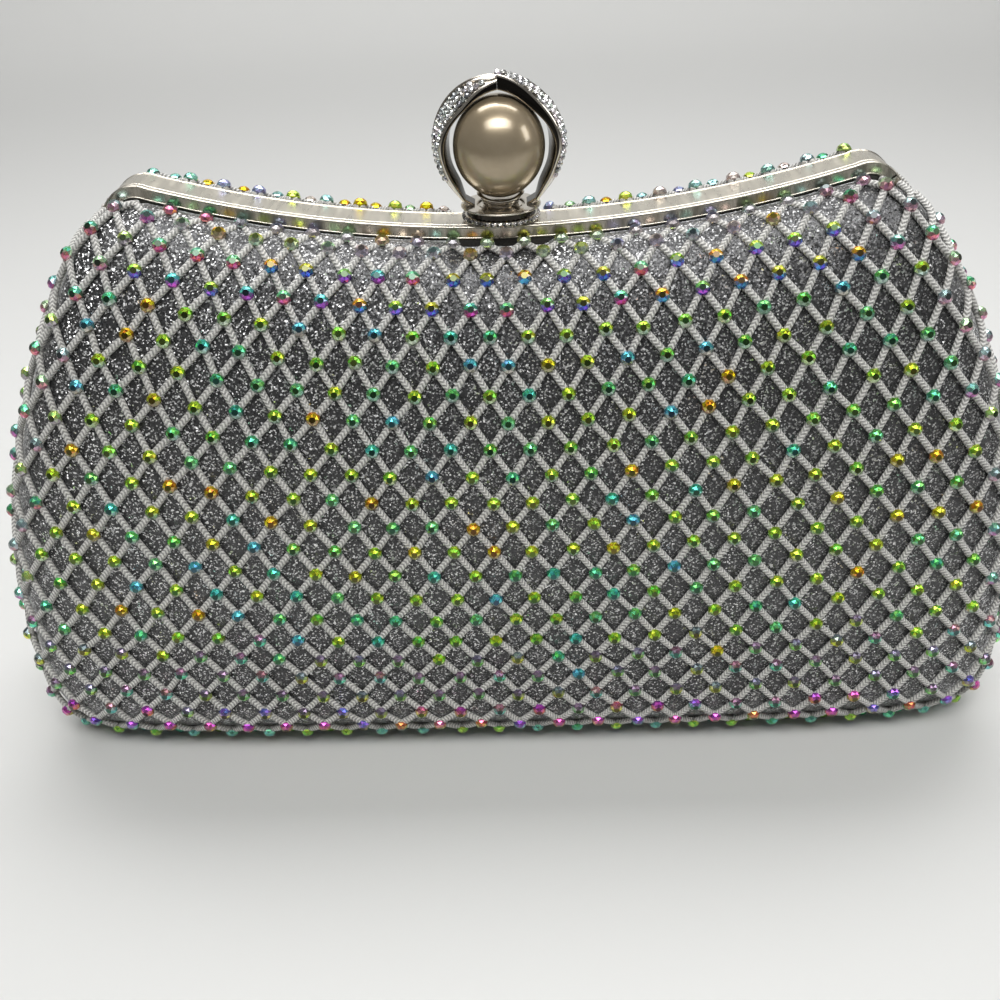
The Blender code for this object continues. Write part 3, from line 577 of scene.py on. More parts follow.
# The covered surface: where a point lies that is so far down from the rail and so far along

def rise(x):
    """How much higher the rail's line is at x than in the middle, where it sags."""
    share = np.abs(x) / TOP_REACH
    eased = 1 + 2 * RISE_EASE * np.tanh((share - 1) / RISE_EASE)
    return TOP_RISE * np.where(share <= 1, share ** 2, eased)


def quarter(share):
    """How high a quarter circle has come at a share of its width."""
    return np.sqrt(np.clip(1 - (1 - np.clip(share, 0, 1)) ** 2, 0, 1))


def flank_width(height, inset, base):
    """Half the width at a height: drawn in towards the rail, and rounded down to the base."""
    widest = HALF_WIDTH - inset
    above = FLANK_DRAW * ((height - WIDEST_HEIGHT) / (SEAT_HEIGHT - WIDEST_HEIGHT)) ** 2
    run = max(BASE_CORNER_RUN - inset, LEAST_RUN)
    below = run * (1 - quarter((height - base) / (WIDEST_HEIGHT - base)))
    return widest - np.where(height >= WIDEST_HEIGHT, above, below)


def half_width(height, inset):
    """Half the width at a height, with the round shoulder under the rail."""
    radius = max(SHOULDER_RADIUS - inset, LEAST_RUN)
    over = np.clip((height - SEAT_HEIGHT + inset + radius) / radius, 0, 1)
    return flank_width(height, inset, inset) - radius * (1 - np.sqrt(1 - over ** 2))


def half_depth(height, inset):
    """How far from Y = 0 a half reaches at a height: over its crown, its belly and its foot."""
    deepest = HALF_DEPTH - inset
    share = np.clip((height - BELLY_HEIGHT) / (SEAT_HEIGHT - inset - BELLY_HEIGHT), 0, 1)
    crown = SEAT_Y + (deepest - SEAT_Y) * np.sqrt(1 - share ** 2)
    run = max(FOOT_RUN - inset, LEAST_RUN)
    foot = deepest - run * (1 - quarter((height - inset) / (FOOT_HEIGHT - inset)))
    return np.where(height >= BELLY_HEIGHT, crown, foot)


class Skin:
    """One half's surface at an inset from its outer level.

    A place on it is (down, out): the distance down the middle line from the rail, over the crown
    and the belly and in under the base, and the distance out along the level from that line.
    """

    def __init__(self, side, inset, lip, lift=0.0, crown_lift=0.0):
        self.side = side
        fall = np.sin(np.linspace(np.pi / 2, 0, CROWN_SAMPLES))
        crown = BELLY_HEIGHT + (SEAT_HEIGHT - inset - BELLY_HEIGHT) * fall
        belly = np.linspace(BELLY_HEIGHT, FOOT_HEIGHT, BELLY_SAMPLES)[1:]
        fall = 1 - np.cos(np.linspace(np.pi / 2, 0, FOOT_SAMPLES))
        foot = inset + (FOOT_HEIGHT - inset) * fall[1:]
        heights = np.concatenate([crown, belly, foot])
        widths = half_width(heights, inset)
        bulges = half_depth(heights, inset) - SEAT_Y
        lips = lip * np.minimum(np.clip((heights - LIP_START) / (LIP_FULL - LIP_START), 0, 1),
                                np.clip((LIP_END - heights) / (LIP_END - LIP_FADE), 0, 1))
        shrink = bulges[-1] * np.linspace(0, 1, BASE_SAMPLES)[1:]
        heights = np.append(heights, np.full(len(shrink), inset))
        widths = np.append(widths, widths[-1] - shrink)
        bulges = np.append(bulges, bulges[-1] - shrink)
        lips = np.append(lips, np.zeros(len(shrink)))
        turn = np.linspace(np.pi / 2, 0, SECTION_SAMPLES)
        across, forth = np.cos(turn), np.sin(turn)
        reach = (across ** SECTION_POWER + forth ** SECTION_POWER) ** (-1 / SECTION_POWER)
        shares = np.linspace(0, 1, COLUMN_SAMPLES)
        rows = []
        self.reach = []
        for height, width, bulge, lip_here in zip(heights, widths, bulges, lips):
            x = np.append(width * reach * across, width)
            y = np.append(SEAT_Y + bulge * reach * forth, SEAT_Y - lip_here)
            z = height * (SEAT_HEIGHT + rise(x)) / SEAT_HEIGHT
            z = z + lift * np.clip(1 - z / FOOT_HEIGHT, 0, 1) ** 2
            up = np.clip((height - SEAT_HEIGHT + inset + CROWN_DROP) / CROWN_DROP, 0, 1)
            beside = np.clip((x - CROWN_NOTCH) / CROWN_NOTCH_EASE, 0, 1)
            within = np.clip((CROWN_END - x) / CROWN_END_EASE, 0, 1)
            z = z + crown_lift * up * beside * within
            run = np.append(0, np.cumsum(np.hypot(np.hypot(np.diff(x), np.diff(y)), np.diff(z))))
            self.reach.append(run[-1])
            rows.append([np.interp(shares * run[-1], run, line) for line in (x, y, z)])
        self.grid = np.array(rows).transpose(0, 2, 1)
        middle = self.grid[:, 0, 1:]
        self.downs = np.append(0, np.cumsum(np.hypot(*np.diff(middle, axis=0).T)))
        self.reach = np.array(self.reach)
        self.length = self.downs[-1]

    def end(self, down):
        """How far out the surface goes at so far down."""
        return np.interp(down, self.downs, self.reach)

    def at_share(self, down, share):
        """The points at so far down, at a share of the way out, from -1 to 1."""
        row = np.interp(down, self.downs, np.arange(len(self.downs)))
        column = np.abs(share) * (self.grid.shape[1] - 1)
        r = np.clip(row.astype(int), 0, self.grid.shape[0] - 2)
        c = np.clip(column.astype(int), 0, self.grid.shape[1] - 2)
        u = np.clip(row - r, 0, 1)[:, None]
        v = np.clip(column - c, 0, 1)[:, None]
        grid = self.grid
        point = ((grid[r, c] * (1 - v) + grid[r, c + 1] * v) * (1 - u)
                 + (grid[r + 1, c] * (1 - v) + grid[r + 1, c + 1] * v) * u)
        sides = np.full(len(row), self.side)
        return point * np.column_stack([np.where(share < 0, -1.0, 1.0), sides, np.ones(len(row))])

    def at(self, down, out):
        return self.at_share(down, np.clip(out / self.end(down), -1, 1))

    def outward(self, down, out):
        """Unit normals, away from the bag's inside."""
        step = 0.3 * MM
        lower = np.clip(down + step, 0, self.length)
        upper = np.clip(down - step, 0, self.length)
        along = self.at(down, out + step) - self.at(down, out - step)
        away = self.at(lower, out) - self.at(upper, out)
        normal = np.cross(along, away) * self.side
        return normal / np.linalg.norm(normal, axis=1)[:, None]


def shell(name, outer, inner, mesh, first=0.0, last=1.0, swell=None):
    """A cloth layer between two skins, closed round its edge, its mesh finer towards the sides.

    It has so many rows and columns, and goes from one share of the way down to another.
    """
    rows, columns = mesh
    even = np.linspace(-1, 1, columns + 1)
    crowded = np.sin(np.linspace(-np.pi / 2, np.pi / 2, columns + 1) * 0.999)
    shares = EDGE_CROWDING * crowded / crowded[-1] + (1 - EDGE_CROWDING) * even
    grids = []
    for skin in (outer, inner):
        downs = np.linspace(first * skin.length, last * skin.length, rows + 1)
        down, share = np.meshgrid(downs, shares, indexing="ij")
        points = skin.at_share(down.ravel(), share.ravel())
        if swell:
            points = points + swell(skin, down.ravel(), share.ravel())
        grids.append(points)
    width = columns + 1
    faces = []
    for layer in (0, 1):
        start = layer * len(grids[0])
        for i in range(rows):
            for j in range(columns):
                a = start + i * width + j
                faces.append((a, a + 1, a + width + 1, a + width))
    rim = list(range(width))
    rim += [i * width + columns for i in range(1, rows + 1)]
    rim += [rows * width + j for j in range(columns - 1, -1, -1)]
    rim += [i * width for i in range(rows - 1, 0, -1)]
    shift = len(grids[0])
    for a, b in zip(rim, rim[1:] + rim[:1]):
        faces.append((a, b, b + shift, a + shift))
    return put(name, mesh_of(name, np.vstack(grids), faces))


# The net: cords that run slantwise over a skin, and a stone where they cross

def row_downs(skin):
    """How far down each row of crossings lies: closer under the rail and round the foot."""
    downs = list(FIRST_ROWS)
    while downs[-1] < LOW_ROWS_START - HALF_ROW / 2:
        downs.append(downs[-1] + HALF_ROW)
    while downs[-1] < skin.length + LOW_HALF_ROW:
        downs.append(downs[-1] + LOW_HALF_ROW)
    return [FIRST_ROWS[0] - HALF_ROW] + downs


def crossings(skin, seed):
    """The net's crossings, by row and column, each with its small error of place."""
    chance = random.Random(seed)
    found = {}
    for row, down in enumerate(row_downs(skin)):
        width = np.interp(down, COLUMN_DOWNS, COLUMN_WIDTHS) / 2
        for column in range(-NET_COLUMNS, NET_COLUMNS + 1):
            if (row + column) % 2 == 0:
                slip = [chance.gauss(0, NET_ERROR) for _ in range(2)]
                out = column * width + slip[1] + NET_SHIFT
                if out < 0:
                    out *= 1 - LEFT_TIGHTNESS * min(max((TIGHT_DOWN - down) / TIGHT_DOWN, 0), 1)
                found[row, column] = (down + slip[0], out)
    return found


def inside(skin, down, out):
    """Whether a place lies on the skin and not past its edge."""
    return 0 <= down <= skin.length and abs(out) <= skin.end(down)


def cord_lines(skin, found):
    """Each slanting cord as its places on the skin, cut off at the cover's edge."""
    lines = []
    rows = max(row for row, _ in found)
    for way in (1, -1):
        for start in range(-2 * NET_COLUMNS, 2 * NET_COLUMNS + 1):
            path = [found[row, start + way * row] for row in range(rows + 1)
                    if (row, start + way * row) in found]
            if len(path) < 2:
                continue
            fine = []
            for (down, out), (down_next, out_next) in zip(path, path[1:]):
                for k in range(CORD_STEPS):
                    share = k / CORD_STEPS
                    fine.append((down + (down_next - down) * share, out + (out_next - out) * share))
            fine.append(path[-1])
            run = []
            for before, place in zip([None] + fine, fine + [None]):
                if place is not None and inside(skin, *place):
                    if not run and before is not None:
                        run.append(edge_place(skin, place, before))
                    run.append(place)
                elif run:
                    if place is not None:
                        run.append(edge_place(skin, run[-1], place))
                    lines.append(run)
                    run = []
    return [line for line in lines if len(line) > 2]


def edge_place(skin, within, beyond):
    """The last place inside the cover on the way from one place to another beyond its edge."""
    low, high = 0.0, 1.0
    for _ in range(EDGE_HALVINGS):
        share = (low + high) / 2
        place = [a + (b - a) * share for a, b in zip(within, beyond)]
        if inside(skin, *place):
            low = share
        else:
            high = share
    return tuple(a + (b - a) * low for a, b in zip(within, beyond))


def line_mesh(name, lines):
    """A mesh of bare edges through lines of points."""
    points = []
    edges = []
    for line in lines:
        edges += [(len(points) + i, len(points) + i + 1) for i in range(len(line) - 1)]
        points += [tuple(point) for point in line]
    mesh = bpy.data.meshes.new(name)
    mesh.from_pydata(points, edges, [])
    return mesh


def point_mesh(name, points, marks):
    """A mesh of bare points with named marks: a number, a vector or a colour for every point."""
    kinds = {1: ("FLOAT", "value"), 3: ("FLOAT_VECTOR", "vector"), 4: ("FLOAT_COLOR", "color")}
    mesh = bpy.data.meshes.new(name)
    mesh.from_pydata([tuple(point) for point in points], [], [])
    chance = np.random.default_rng(SEED).uniform(0, 40, len(points))
    for label, values in {**marks, "stone_chance": chance}.items():
        values = np.array(values, float).reshape(len(points), -1)
        kind, field = kinds[values.shape[1]]
        mesh.attributes.new(label, kind, "POINT").data.foreach_set(field, values.ravel())
    return mesh


def tree_with(name, sockets):
    """A Geometry Nodes tree with named inputs, and its two end nodes."""
    tree = bpy.data.node_groups.new(name, "GeometryNodeTree")
    tree.interface.new_socket("Geometry", in_out="INPUT", socket_type="NodeSocketGeometry")
    for label, kind in sockets.items():
        tree.interface.new_socket(label, in_out="INPUT", socket_type=kind)
    tree.interface.new_socket("Geometry", in_out="OUTPUT", socket_type="NodeSocketGeometry")
    return tree, tree.nodes.new("NodeGroupInput"), tree.nodes.new("NodeGroupOutput")


def cord_tree():
    """Winds a round cord along every edge line of a mesh, and marks how far along it is.

    The wale mark swings between -1 and 1 from side to side, so that it has no seam.
    """
    tree, start, end = tree_with("cord_along_lines", {
        "Cord Radius": "NodeSocketFloat", "Sides": "NodeSocketInt", "Cord": "NodeSocketMaterial"})
    line = add(tree, "GeometryNodeMeshToCurve", {"Mesh": start.outputs["Geometry"]})
    length = add(tree, "GeometryNodeSplineParameter").outputs["Length"]
    marked = add(tree, "GeometryNodeStoreNamedAttribute",
                 {"Geometry": line.outputs[0], "Name": "along", "Value": length}, domain="POINT")
    ring = add(tree, "GeometryNodeCurvePrimitiveCircle",
               {"Resolution": start.outputs["Sides"], "Radius": start.outputs["Cord Radius"]})
    factor = add(tree, "GeometryNodeSplineParameter").outputs["Factor"]
    side = add(tree, "ShaderNodeMath", (factor, start.outputs["Sides"]), operation="MULTIPLY")
    turn = add(tree, "ShaderNodeMath", (side.outputs[0], math.pi), operation="MULTIPLY")
    wale = add(tree, "ShaderNodeMath", (turn.outputs[0],), operation="COSINE")
    ring_marked = add(tree, "GeometryNodeStoreNamedAttribute",
                      {"Geometry": ring.outputs[0], "Name": "wale", "Value": wale.outputs[0]},
                      domain="POINT")
    tube = add(tree, "GeometryNodeCurveToMesh",
               {"Curve": marked.outputs[0], "Profile Curve": ring_marked.outputs[0],
                "Fill Caps": True})
    smooth = add(tree, "GeometryNodeSetShadeSmooth", {"Geometry": tube.outputs[0]})
    real = add(tree, "GeometryNodeRealizeInstances", (smooth.outputs[0],))
    dressed = add(tree, "GeometryNodeSetMaterial",
                  {"Geometry": real.outputs[0], "Material": start.outputs["Cord"]})
    tree.links.new(dressed.outputs[0], end.inputs[0])
    return tree


def stone_tree():
    """Sets a stone on every point, its foot on the surface and its top edge the way it is told."""
    tree, start, end = tree_with("stones_on_points", {
        "Stone": "NodeSocketObject", "Stone Radius": "NodeSocketFloat",
        "Glass": "NodeSocketMaterial"})
    outward, upward = (add(tree, "GeometryNodeInputNamedAttribute", {"Name": label},
                           data_type="FLOAT_VECTOR") for label in ("outward", "upward"))
    stand = add(tree, "FunctionNodeAlignRotationToVector", {"Vector": outward.outputs[0]}, axis="Z")
    turn = add(tree, "FunctionNodeAlignRotationToVector",
               {"Rotation": stand.outputs[0], "Vector": upward.outputs[0]},
               axis="Y", pivot_axis="Z")
    stone = add(tree, "GeometryNodeObjectInfo", {"Object": start.outputs["Stone"]})
    placed = add(tree, "GeometryNodeInstanceOnPoints",
                 {"Points": start.outputs["Geometry"], "Instance": stone.outputs["Geometry"],
                  "Rotation": turn.outputs[0], "Scale": start.outputs["Stone Radius"]})
    real = add(tree, "GeometryNodeRealizeInstances", (placed.outputs[0],))
    dressed = add(tree, "GeometryNodeSetMaterial",
                  {"Geometry": real.outputs[0], "Material": start.outputs["Glass"]})
    tree.links.new(dressed.outputs[0], end.inputs[0])
    return tree


def grown(name, mesh, tree, values):
    """The plain mesh that a tree makes of a mesh."""
    thing = put(name, mesh)
    change = thing.modifiers.new("grow", "NODES")
    change.node_group = tree
    for item in tree.interface.items_tree:
        if item.in_out == "INPUT" and item.name in values:
            change[item.identifier] = values[item.name]
    graph = bpy.context.evaluated_depsgraph_get()
    result = bpy.data.meshes.new_from_object(
        thing.evaluated_get(graph), preserve_all_data_layers=True, depsgraph=graph)
    result.name = name
    thing.modifiers.remove(change)
    thing.data = result
    return thing


def wind_cord(name, lines, radius, sides, finish):
    """Round cords along lines of points."""
    return grown(name, line_mesh(name, lines), trees["cord"],
                 {"Cord Radius": radius, "Sides": sides, "Cord": materials[finish]})


def set_stones(name, points, marks, radius, glass):
    """Stones on points, whose marks say how each stands and which colours it throws back."""
    return grown(name, point_mesh(name, points, marks), trees["stone"],
                 {"Stone": unit_stone, "Stone Radius": radius, "Glass": materials[glass]})


def cut_stone(name):
    """A flat-backed stone of unit radius: a girdle, two rings of facets and a table.

    Each facet carries how far it leans up or down the bag and a painted brightness: the table
    painted dark as shade, the others painted glints.
    """
    chance = random.Random(SEED)
    count = STONE_FACETS
    rings = [(1.0, 0.0, 0), (1.0, 0.22, 0), (0.82, 0.62, 0.5), (0.44, 0.92, 0)]
    points = []
    for radius, height, turn in rings:
        for i in range(count):
            angle = 2 * math.pi / count * (i + turn + 0.5)
            points.append((radius * math.cos(angle), radius * math.sin(angle), height))
    girdle, crown, table = count, 2 * count, 3 * count
    faces = [tuple(range(count - 1, -1, -1)), tuple(range(table, table + count))]
    for i in range(count):
        j = (i + 1) % count
        faces.append((i, j, girdle + j, girdle + i))
        faces.append((girdle + i, girdle + j, crown + i))
        faces.append((girdle + j, crown + j, crown + i))
        faces.append((crown + i, table + j, table + i))
        faces.append((crown + i, crown + j, table + j))
    mesh = bpy.data.meshes.new(name)
    mesh.from_pydata(points, [], faces)
    lean, painted_glint, number = (mesh.attributes.new(label, "FLOAT", "FACE").data
                           for label in ("facet_lean", "facet_painted_glint", "facet_number"))
    for face in mesh.polygons:
        lean[face.index].value = face.normal.y + chance.uniform(-0.12, 0.12)
        # Painted glints: the table dark as shade, the other facets bright at random.
        painted_glint[face.index].value = 0.16 if face.normal.z > 0.98 else chance.uniform(0.8, 1.25)
        number[face.index].value = face.index
    return put(name, mesh)


# Colours that the coat throws back, painted as reflections by where a stone sits: pairs of the
# facets above and below its table
COAT_REFLECTIONS = {
    "middle": [("B4D230", "9CB49C"), ("A6D23C", "A4B8AC"), ("7CCB4E", "8FA898"),
        ("62C86E", "9AB0A8"), ("58C58A", "9AA8A0"), ("C4DC34", "A8B090"), ("8ED044", "B0BCA8"),
        ("4CC0A4", "98B4AC"), ("A4D63C", "B8C8A0"), ("D6CE28", "A8A080"), ("6FD07A", "86AC9A"),
        ("AED838", "8FA890"), ("5CB8CC", "A8A49C"), ("DCB020", "B09C70")],
    "upper": [("8CCB6A", "8A4FC4"), ("62C2A0", "C84A9C"), ("A8D048", "6A5CD0"),
        ("58C0B8", "A850B8"), ("D0D040", "4868D0"), ("74C890", "D06088"), ("E8B030", "4A90C8")],
    "top": [("A8D8A0", "B8B4B8"), ("9CCFC8", "A8A8B0"), ("C8D850", "A8B8A0"),
        ("D8C8C0", "A8A0B0"), ("E8C020", "B8A888"), ("A8B0D8", "B0A8A8")],
    "lower": [("8E7690", "8CE07C"), ("80748A", "C4E048"), ("9C7490", "6CE0B4"),
        ("7C8A90", "DCE040"), ("A4747C", "78DCCC"), ("86809A", "98E068")],
    "foot": [("C050A8", "C8A850"), ("9858C8", "68C098"), ("D07098", "C8D048"),
        ("B048B8", "D88858"), ("7068D0", "C0B868"), ("D86A50", "90C080")],
    "under": [("60C098", "50B8A0"), ("98C850", "58B0B8"), ("70B8A8", "A0C860")],
    "sides": [("A8CCA0", "C88AA0"), ("88C8B8", "C070B0"), ("B8D878", "A8A0A8"),
        ("9CB8B8", "B890A0"), ("60C090", "D07888")],
}


def painted_coat_for(down, share, chance):
    """A stone's two painted reflection colours and where they part: they differ over the bag's top,
    middle, foot and sides as the light falls there.
    """
    if down > UNDER_START:
        zone = "under"
    elif down > FOOT_START + chance.gauss(0, FOOT_RAGGED):
        zone = "foot"
    elif down > LOWER_START + chance.gauss(0, LOWER_RAGGED):
        zone = "lower"
    elif abs(share) > SIDE_START_SHARE + chance.gauss(0, SIDE_RAGGED_SHARE):
        zone = "sides"
    elif down < TOP_END:
        zone = "top"
    elif down < UPPER_END:
        zone = "upper"
    else:
        zone = "middle"
    upper, lower = chance.choice(COAT_REFLECTIONS[zone])
    return linear(upper), linear(lower), COAT_SPLITS.get(zone, PLAIN_SPLIT)


def net_stones(name, side, level, found, seed):
    """A stone on each crossing that has room for one, none of them below what the bag stands on."""
    chance = random.Random(seed + 1)
    places = []
    coats = []
    for down, out in found.values():
        if not FIRST_STONE_DOWN < down < level.length - STONE_BASE_MARGIN:
            continue
        end = float(level.end(down))
        by_lugs = side == REAR and down < LUGS_DOWN and abs(out) < LUGS_OUT
        if abs(out) < end - STONE_EDGE_MARGIN and not by_lugs:
            places.append((down, out))
            coats.append(painted_coat_for(down, out / end, chance))
    down, out = np.array(places).T
    outward = level.outward(down, out)
    tilt = np.random.default_rng(seed).normal(0, STONE_TILT, outward.shape)
    points = level.at(down, out) + outward * (CORD_RADIUS - STONE_SINK)
    points[:, 2] = np.maximum(points[:, 2], STONE_RADIUS)
    upward = level.at(np.clip(down - MM, 0, None), out) - level.at(down + MM, out)
    uppers, lowers, splits = zip(*coats)
    marks = {"outward": outward + tilt, "upward": upward,
             "upper_painted_colour": uppers, "lower_painted_colour": lowers, "coat_split": splits}
    return set_stones(name, points, marks, STONE_RADIUS, "coated")


def dress_half(name, side, seed):
    """The cloth, net, stones and edge cord of one half."""
    lip = LIPS[side]
    cloth = shell(name + "_cloth", Skin(side, CLOTH_INSET, lip, BASE_LIFT, CLOTH_CROWN_LIFTS[side]),
                  Skin(side, COVER_THICKNESS, lip, BASE_LIFT), CLOTH_MESH)
    level = Skin(side, CORD_RADIUS, lip, BASE_LIFT, CROWN_LIFTS[side])
    found = crossings(level, seed)
    lines = []
    for line in cord_lines(level, found):
        down, out = np.array(line).T
        lines.append(level.at(down, out))
    net = wind_cord(name + "_net", lines, CORD_RADIUS, CORD_SIDES, "cord")
    stones = net_stones(name + "_stones", side, level, found, seed)
    edge = edge_cord(name + "_edge_cord", side)
    wear(cloth, materials["glitter"])
    covered = Skin(side, CLOTH_INSET, lip, BASE_LIFT, CROWN_LIFTS[side])
    declare_sheet(covered, 0.0, 1.0)
    return cloth, net, stones, edge


def declare_sheet(skin, first, last):
    """The lengths down and widths of the flat piece that a cloth was cut from, by the surface that
    it covers; nothing is passed on.
    """
    downs = np.linspace(first * skin.length, last * skin.length, SHEET_SAMPLES)
    widths = 2 * skin.end(downs)


def edge_cord(name, side):
    """The bound edge of a cover, down both sides and along the base groove."""
    level = Skin(side, EDGE_CORD_RADIUS, LIPS[side], BASE_LIFT)
    downs = np.linspace(EDGE_CORD_START, level.length - EDGE_CORD_BACK, EDGE_CORD_SIDE_POINTS)
    ends = level.end(downs) - EDGE_CORD_BACK
    right = level.at(downs, ends)
    across = np.linspace(ends[-1], -ends[-1], EDGE_CORD_BASE_POINTS + 2)[1:-1]
    base = level.at(np.full(len(across), downs[-1]), across)
    left = level.at(downs, -ends)[::-1]
    line = np.vstack([right, base, left])
    return wind_cord(name, [line], EDGE_CORD_RADIUS, EDGE_CORD_SIDES, "cord")


# The rails

def rail_side(height, inset):
    """A point of the rail's side line, as (x, z)."""
    x = flank_width(height, inset, RAIL_BASE + inset - RAIL_INSET)
    return Vector((float(x), float(height * (SEAT_HEIGHT + rise(x)) / SEAT_HEIGHT)))


def rail_corner(inset):
    """The point where the rail's top line and its side line would meet, and the level there."""
    drop = inset - RAIL_INSET
    low, high = SEAT_HEIGHT / 2, SEAT_HEIGHT * 2
    for _ in range(RAIL_CORNER_HALVINGS):
        middle = (low + high) / 2
        point = rail_side(middle, inset)
        if point.y < RAIL_TOP - drop + rise(point.x):
            low = middle
        else:
            high = middle
    return rail_side(low, inset), low


def rail_loop(reach):
    """Outline of the rails, measured in by reach from their outside."""
    inset = RAIL_INSET + reach
    corner, level = rail_corner(inset)
    radius = max(RAIL_CORNER - reach, LEAST_CORNER)
    step = 1e-5
    along = Vector((step, rise(corner.x) - rise(corner.x - step))).normalized()
    down = (rail_side(level - radius, inset) - corner).normalized()
    cut = radius * math.tan(along.angle(down) / 2)
    first = corner - along * cut
    last = corner + down * cut
    centre = first + Vector((along.y, -along.x)) * radius
    half = []
    for i in range(RAIL_TOP_STEPS):
        x = first.x * i / RAIL_TOP_STEPS
        half.append((x, RAIL_TOP - reach + float(rise(x))))
    start = math.atan2(first.y - centre.y, first.x - centre.x)
    end = math.atan2(last.y - centre.y, last.x - centre.x)
    for i in range(RAIL_CORNER_STEPS + 1):
        angle = start + (end - start) * i / RAIL_CORNER_STEPS
        half.append((centre.x + radius * math.cos(angle), centre.y + radius * math.sin(angle)))
    end_level = level * last.y / corner.y
    base = RAIL_BASE + reach
    for i in range(1, RAIL_SIDE_STEPS + 1):
        share = math.sin(math.pi / 2 * i / RAIL_SIDE_STEPS) ** 2
        point = rail_side(end_level + (base - end_level) * share, inset)
        half.append((point.x, max(point.y, base) if i < RAIL_SIDE_STEPS else base))
    return half + [(-x, z) for x, z in half[:0:-1]]


def make_rail(name, side):
    """A rail: a strip on top, a bead along its ridge, a face, and a bead along its lower edge.

    The section is (distance in from the outside, distance out from the seam's plane). It is
    polished as far as its inner flange, whose zinc is painted dark as shade, and its face is
    painted darker as shade.
    """
    seam = RAIL_SEAMS[side]
    section = [
        (0.00030, seam), (0.00017, seam + 0.00004), (0.00012, seam + 0.00012),
        (0.00012, seam + 0.00018), (0.00014, 0.00400), (0.00014, 0.00406), (0.00004, 0.00414),
        (0.0, 0.00428), (0.00002, 0.00442), (0.00010, 0.00454), (0.00022, 0.00460),
        (0.00034, 0.00457), (0.00042, 0.00446), (0.00046, 0.00446), (0.00204, 0.00446),
        (0.00208, 0.00446), (0.00214, 0.00456), (0.00226, 0.00461), (0.00240, 0.00456),
        (0.0025, 0.0044), (0.0070, 0.0044), (0.0070, 0.0035), (0.0025, 0.0035), (0.0025, seam),
    ]
    flange_start = 19
    face_rings = (13, 14, 15)
    rings = []
    for reach, out in section:
        rings.append([(x, side * out, z) for x, z in rail_loop(reach)])
    rail = loft(name, rings, sharp=math.radians(50), closed=True)
    wear(rail, materials["rail"], materials["cast"], materials["face_shade_plate"])
    for face in rail.data.polygons:
        ring = face.index // len(rings[0])
        # The face rings take the plate painted darker as shade, and the flange the zinc painted
        # dark as shade.
        face.material_index = 2 if ring in face_rings else int(ring >= flange_start)
    return rail


def cut_latch_slot(rail):
    """The slot in the rear rail that the latch's tongue goes through."""
    form = bmesh.new()
    bmesh.ops.create_cube(form, size=1)
    bmesh.ops.scale(form, vec=LATCH_SLOT, verts=form.verts)
    bmesh.ops.translate(form, vec=LATCH_SLOT_PLACE, verts=form.verts)
    mesh = bpy.data.meshes.new("slot")
    form.to_mesh(mesh)
    form.free()
    cutter = put("slot", mesh)
    change = rail.modifiers.new("slot", "BOOLEAN")
    change.operation = "DIFFERENCE"
    change.solver = "EXACT"
    change.object = cutter
    graph = bpy.context.evaluated_depsgraph_get()
    result = bpy.data.meshes.new_from_object(rail.evaluated_get(graph), depsgraph=graph)
    rail.modifiers.remove(change)
    rail.data = result
    bpy.data.objects.remove(cutter)


# The clasp

def smooth_through(values, place):
    """A smooth line through values that stand at the whole places."""
    i = min(int(place), len(values) - 2)
    share = place - i
    first, last = values[i], values[i + 1]
    before = values[max(i - 1, 0)]
    after = values[min(i + 2, len(values) - 1)]
    curve = 2 * before - 5 * first + 4 * last - after
    curve += share * (3 * (first - last) + after - before)
    return first + share / 2 * (last - before + share * curve)


def ease(value, start, end):
    """A soft step: 0 up to the start, 1 from the end on."""
    share = min(max((value - start) / (end - start), 0), 1)
    return share * share * (3 - 2 * share)


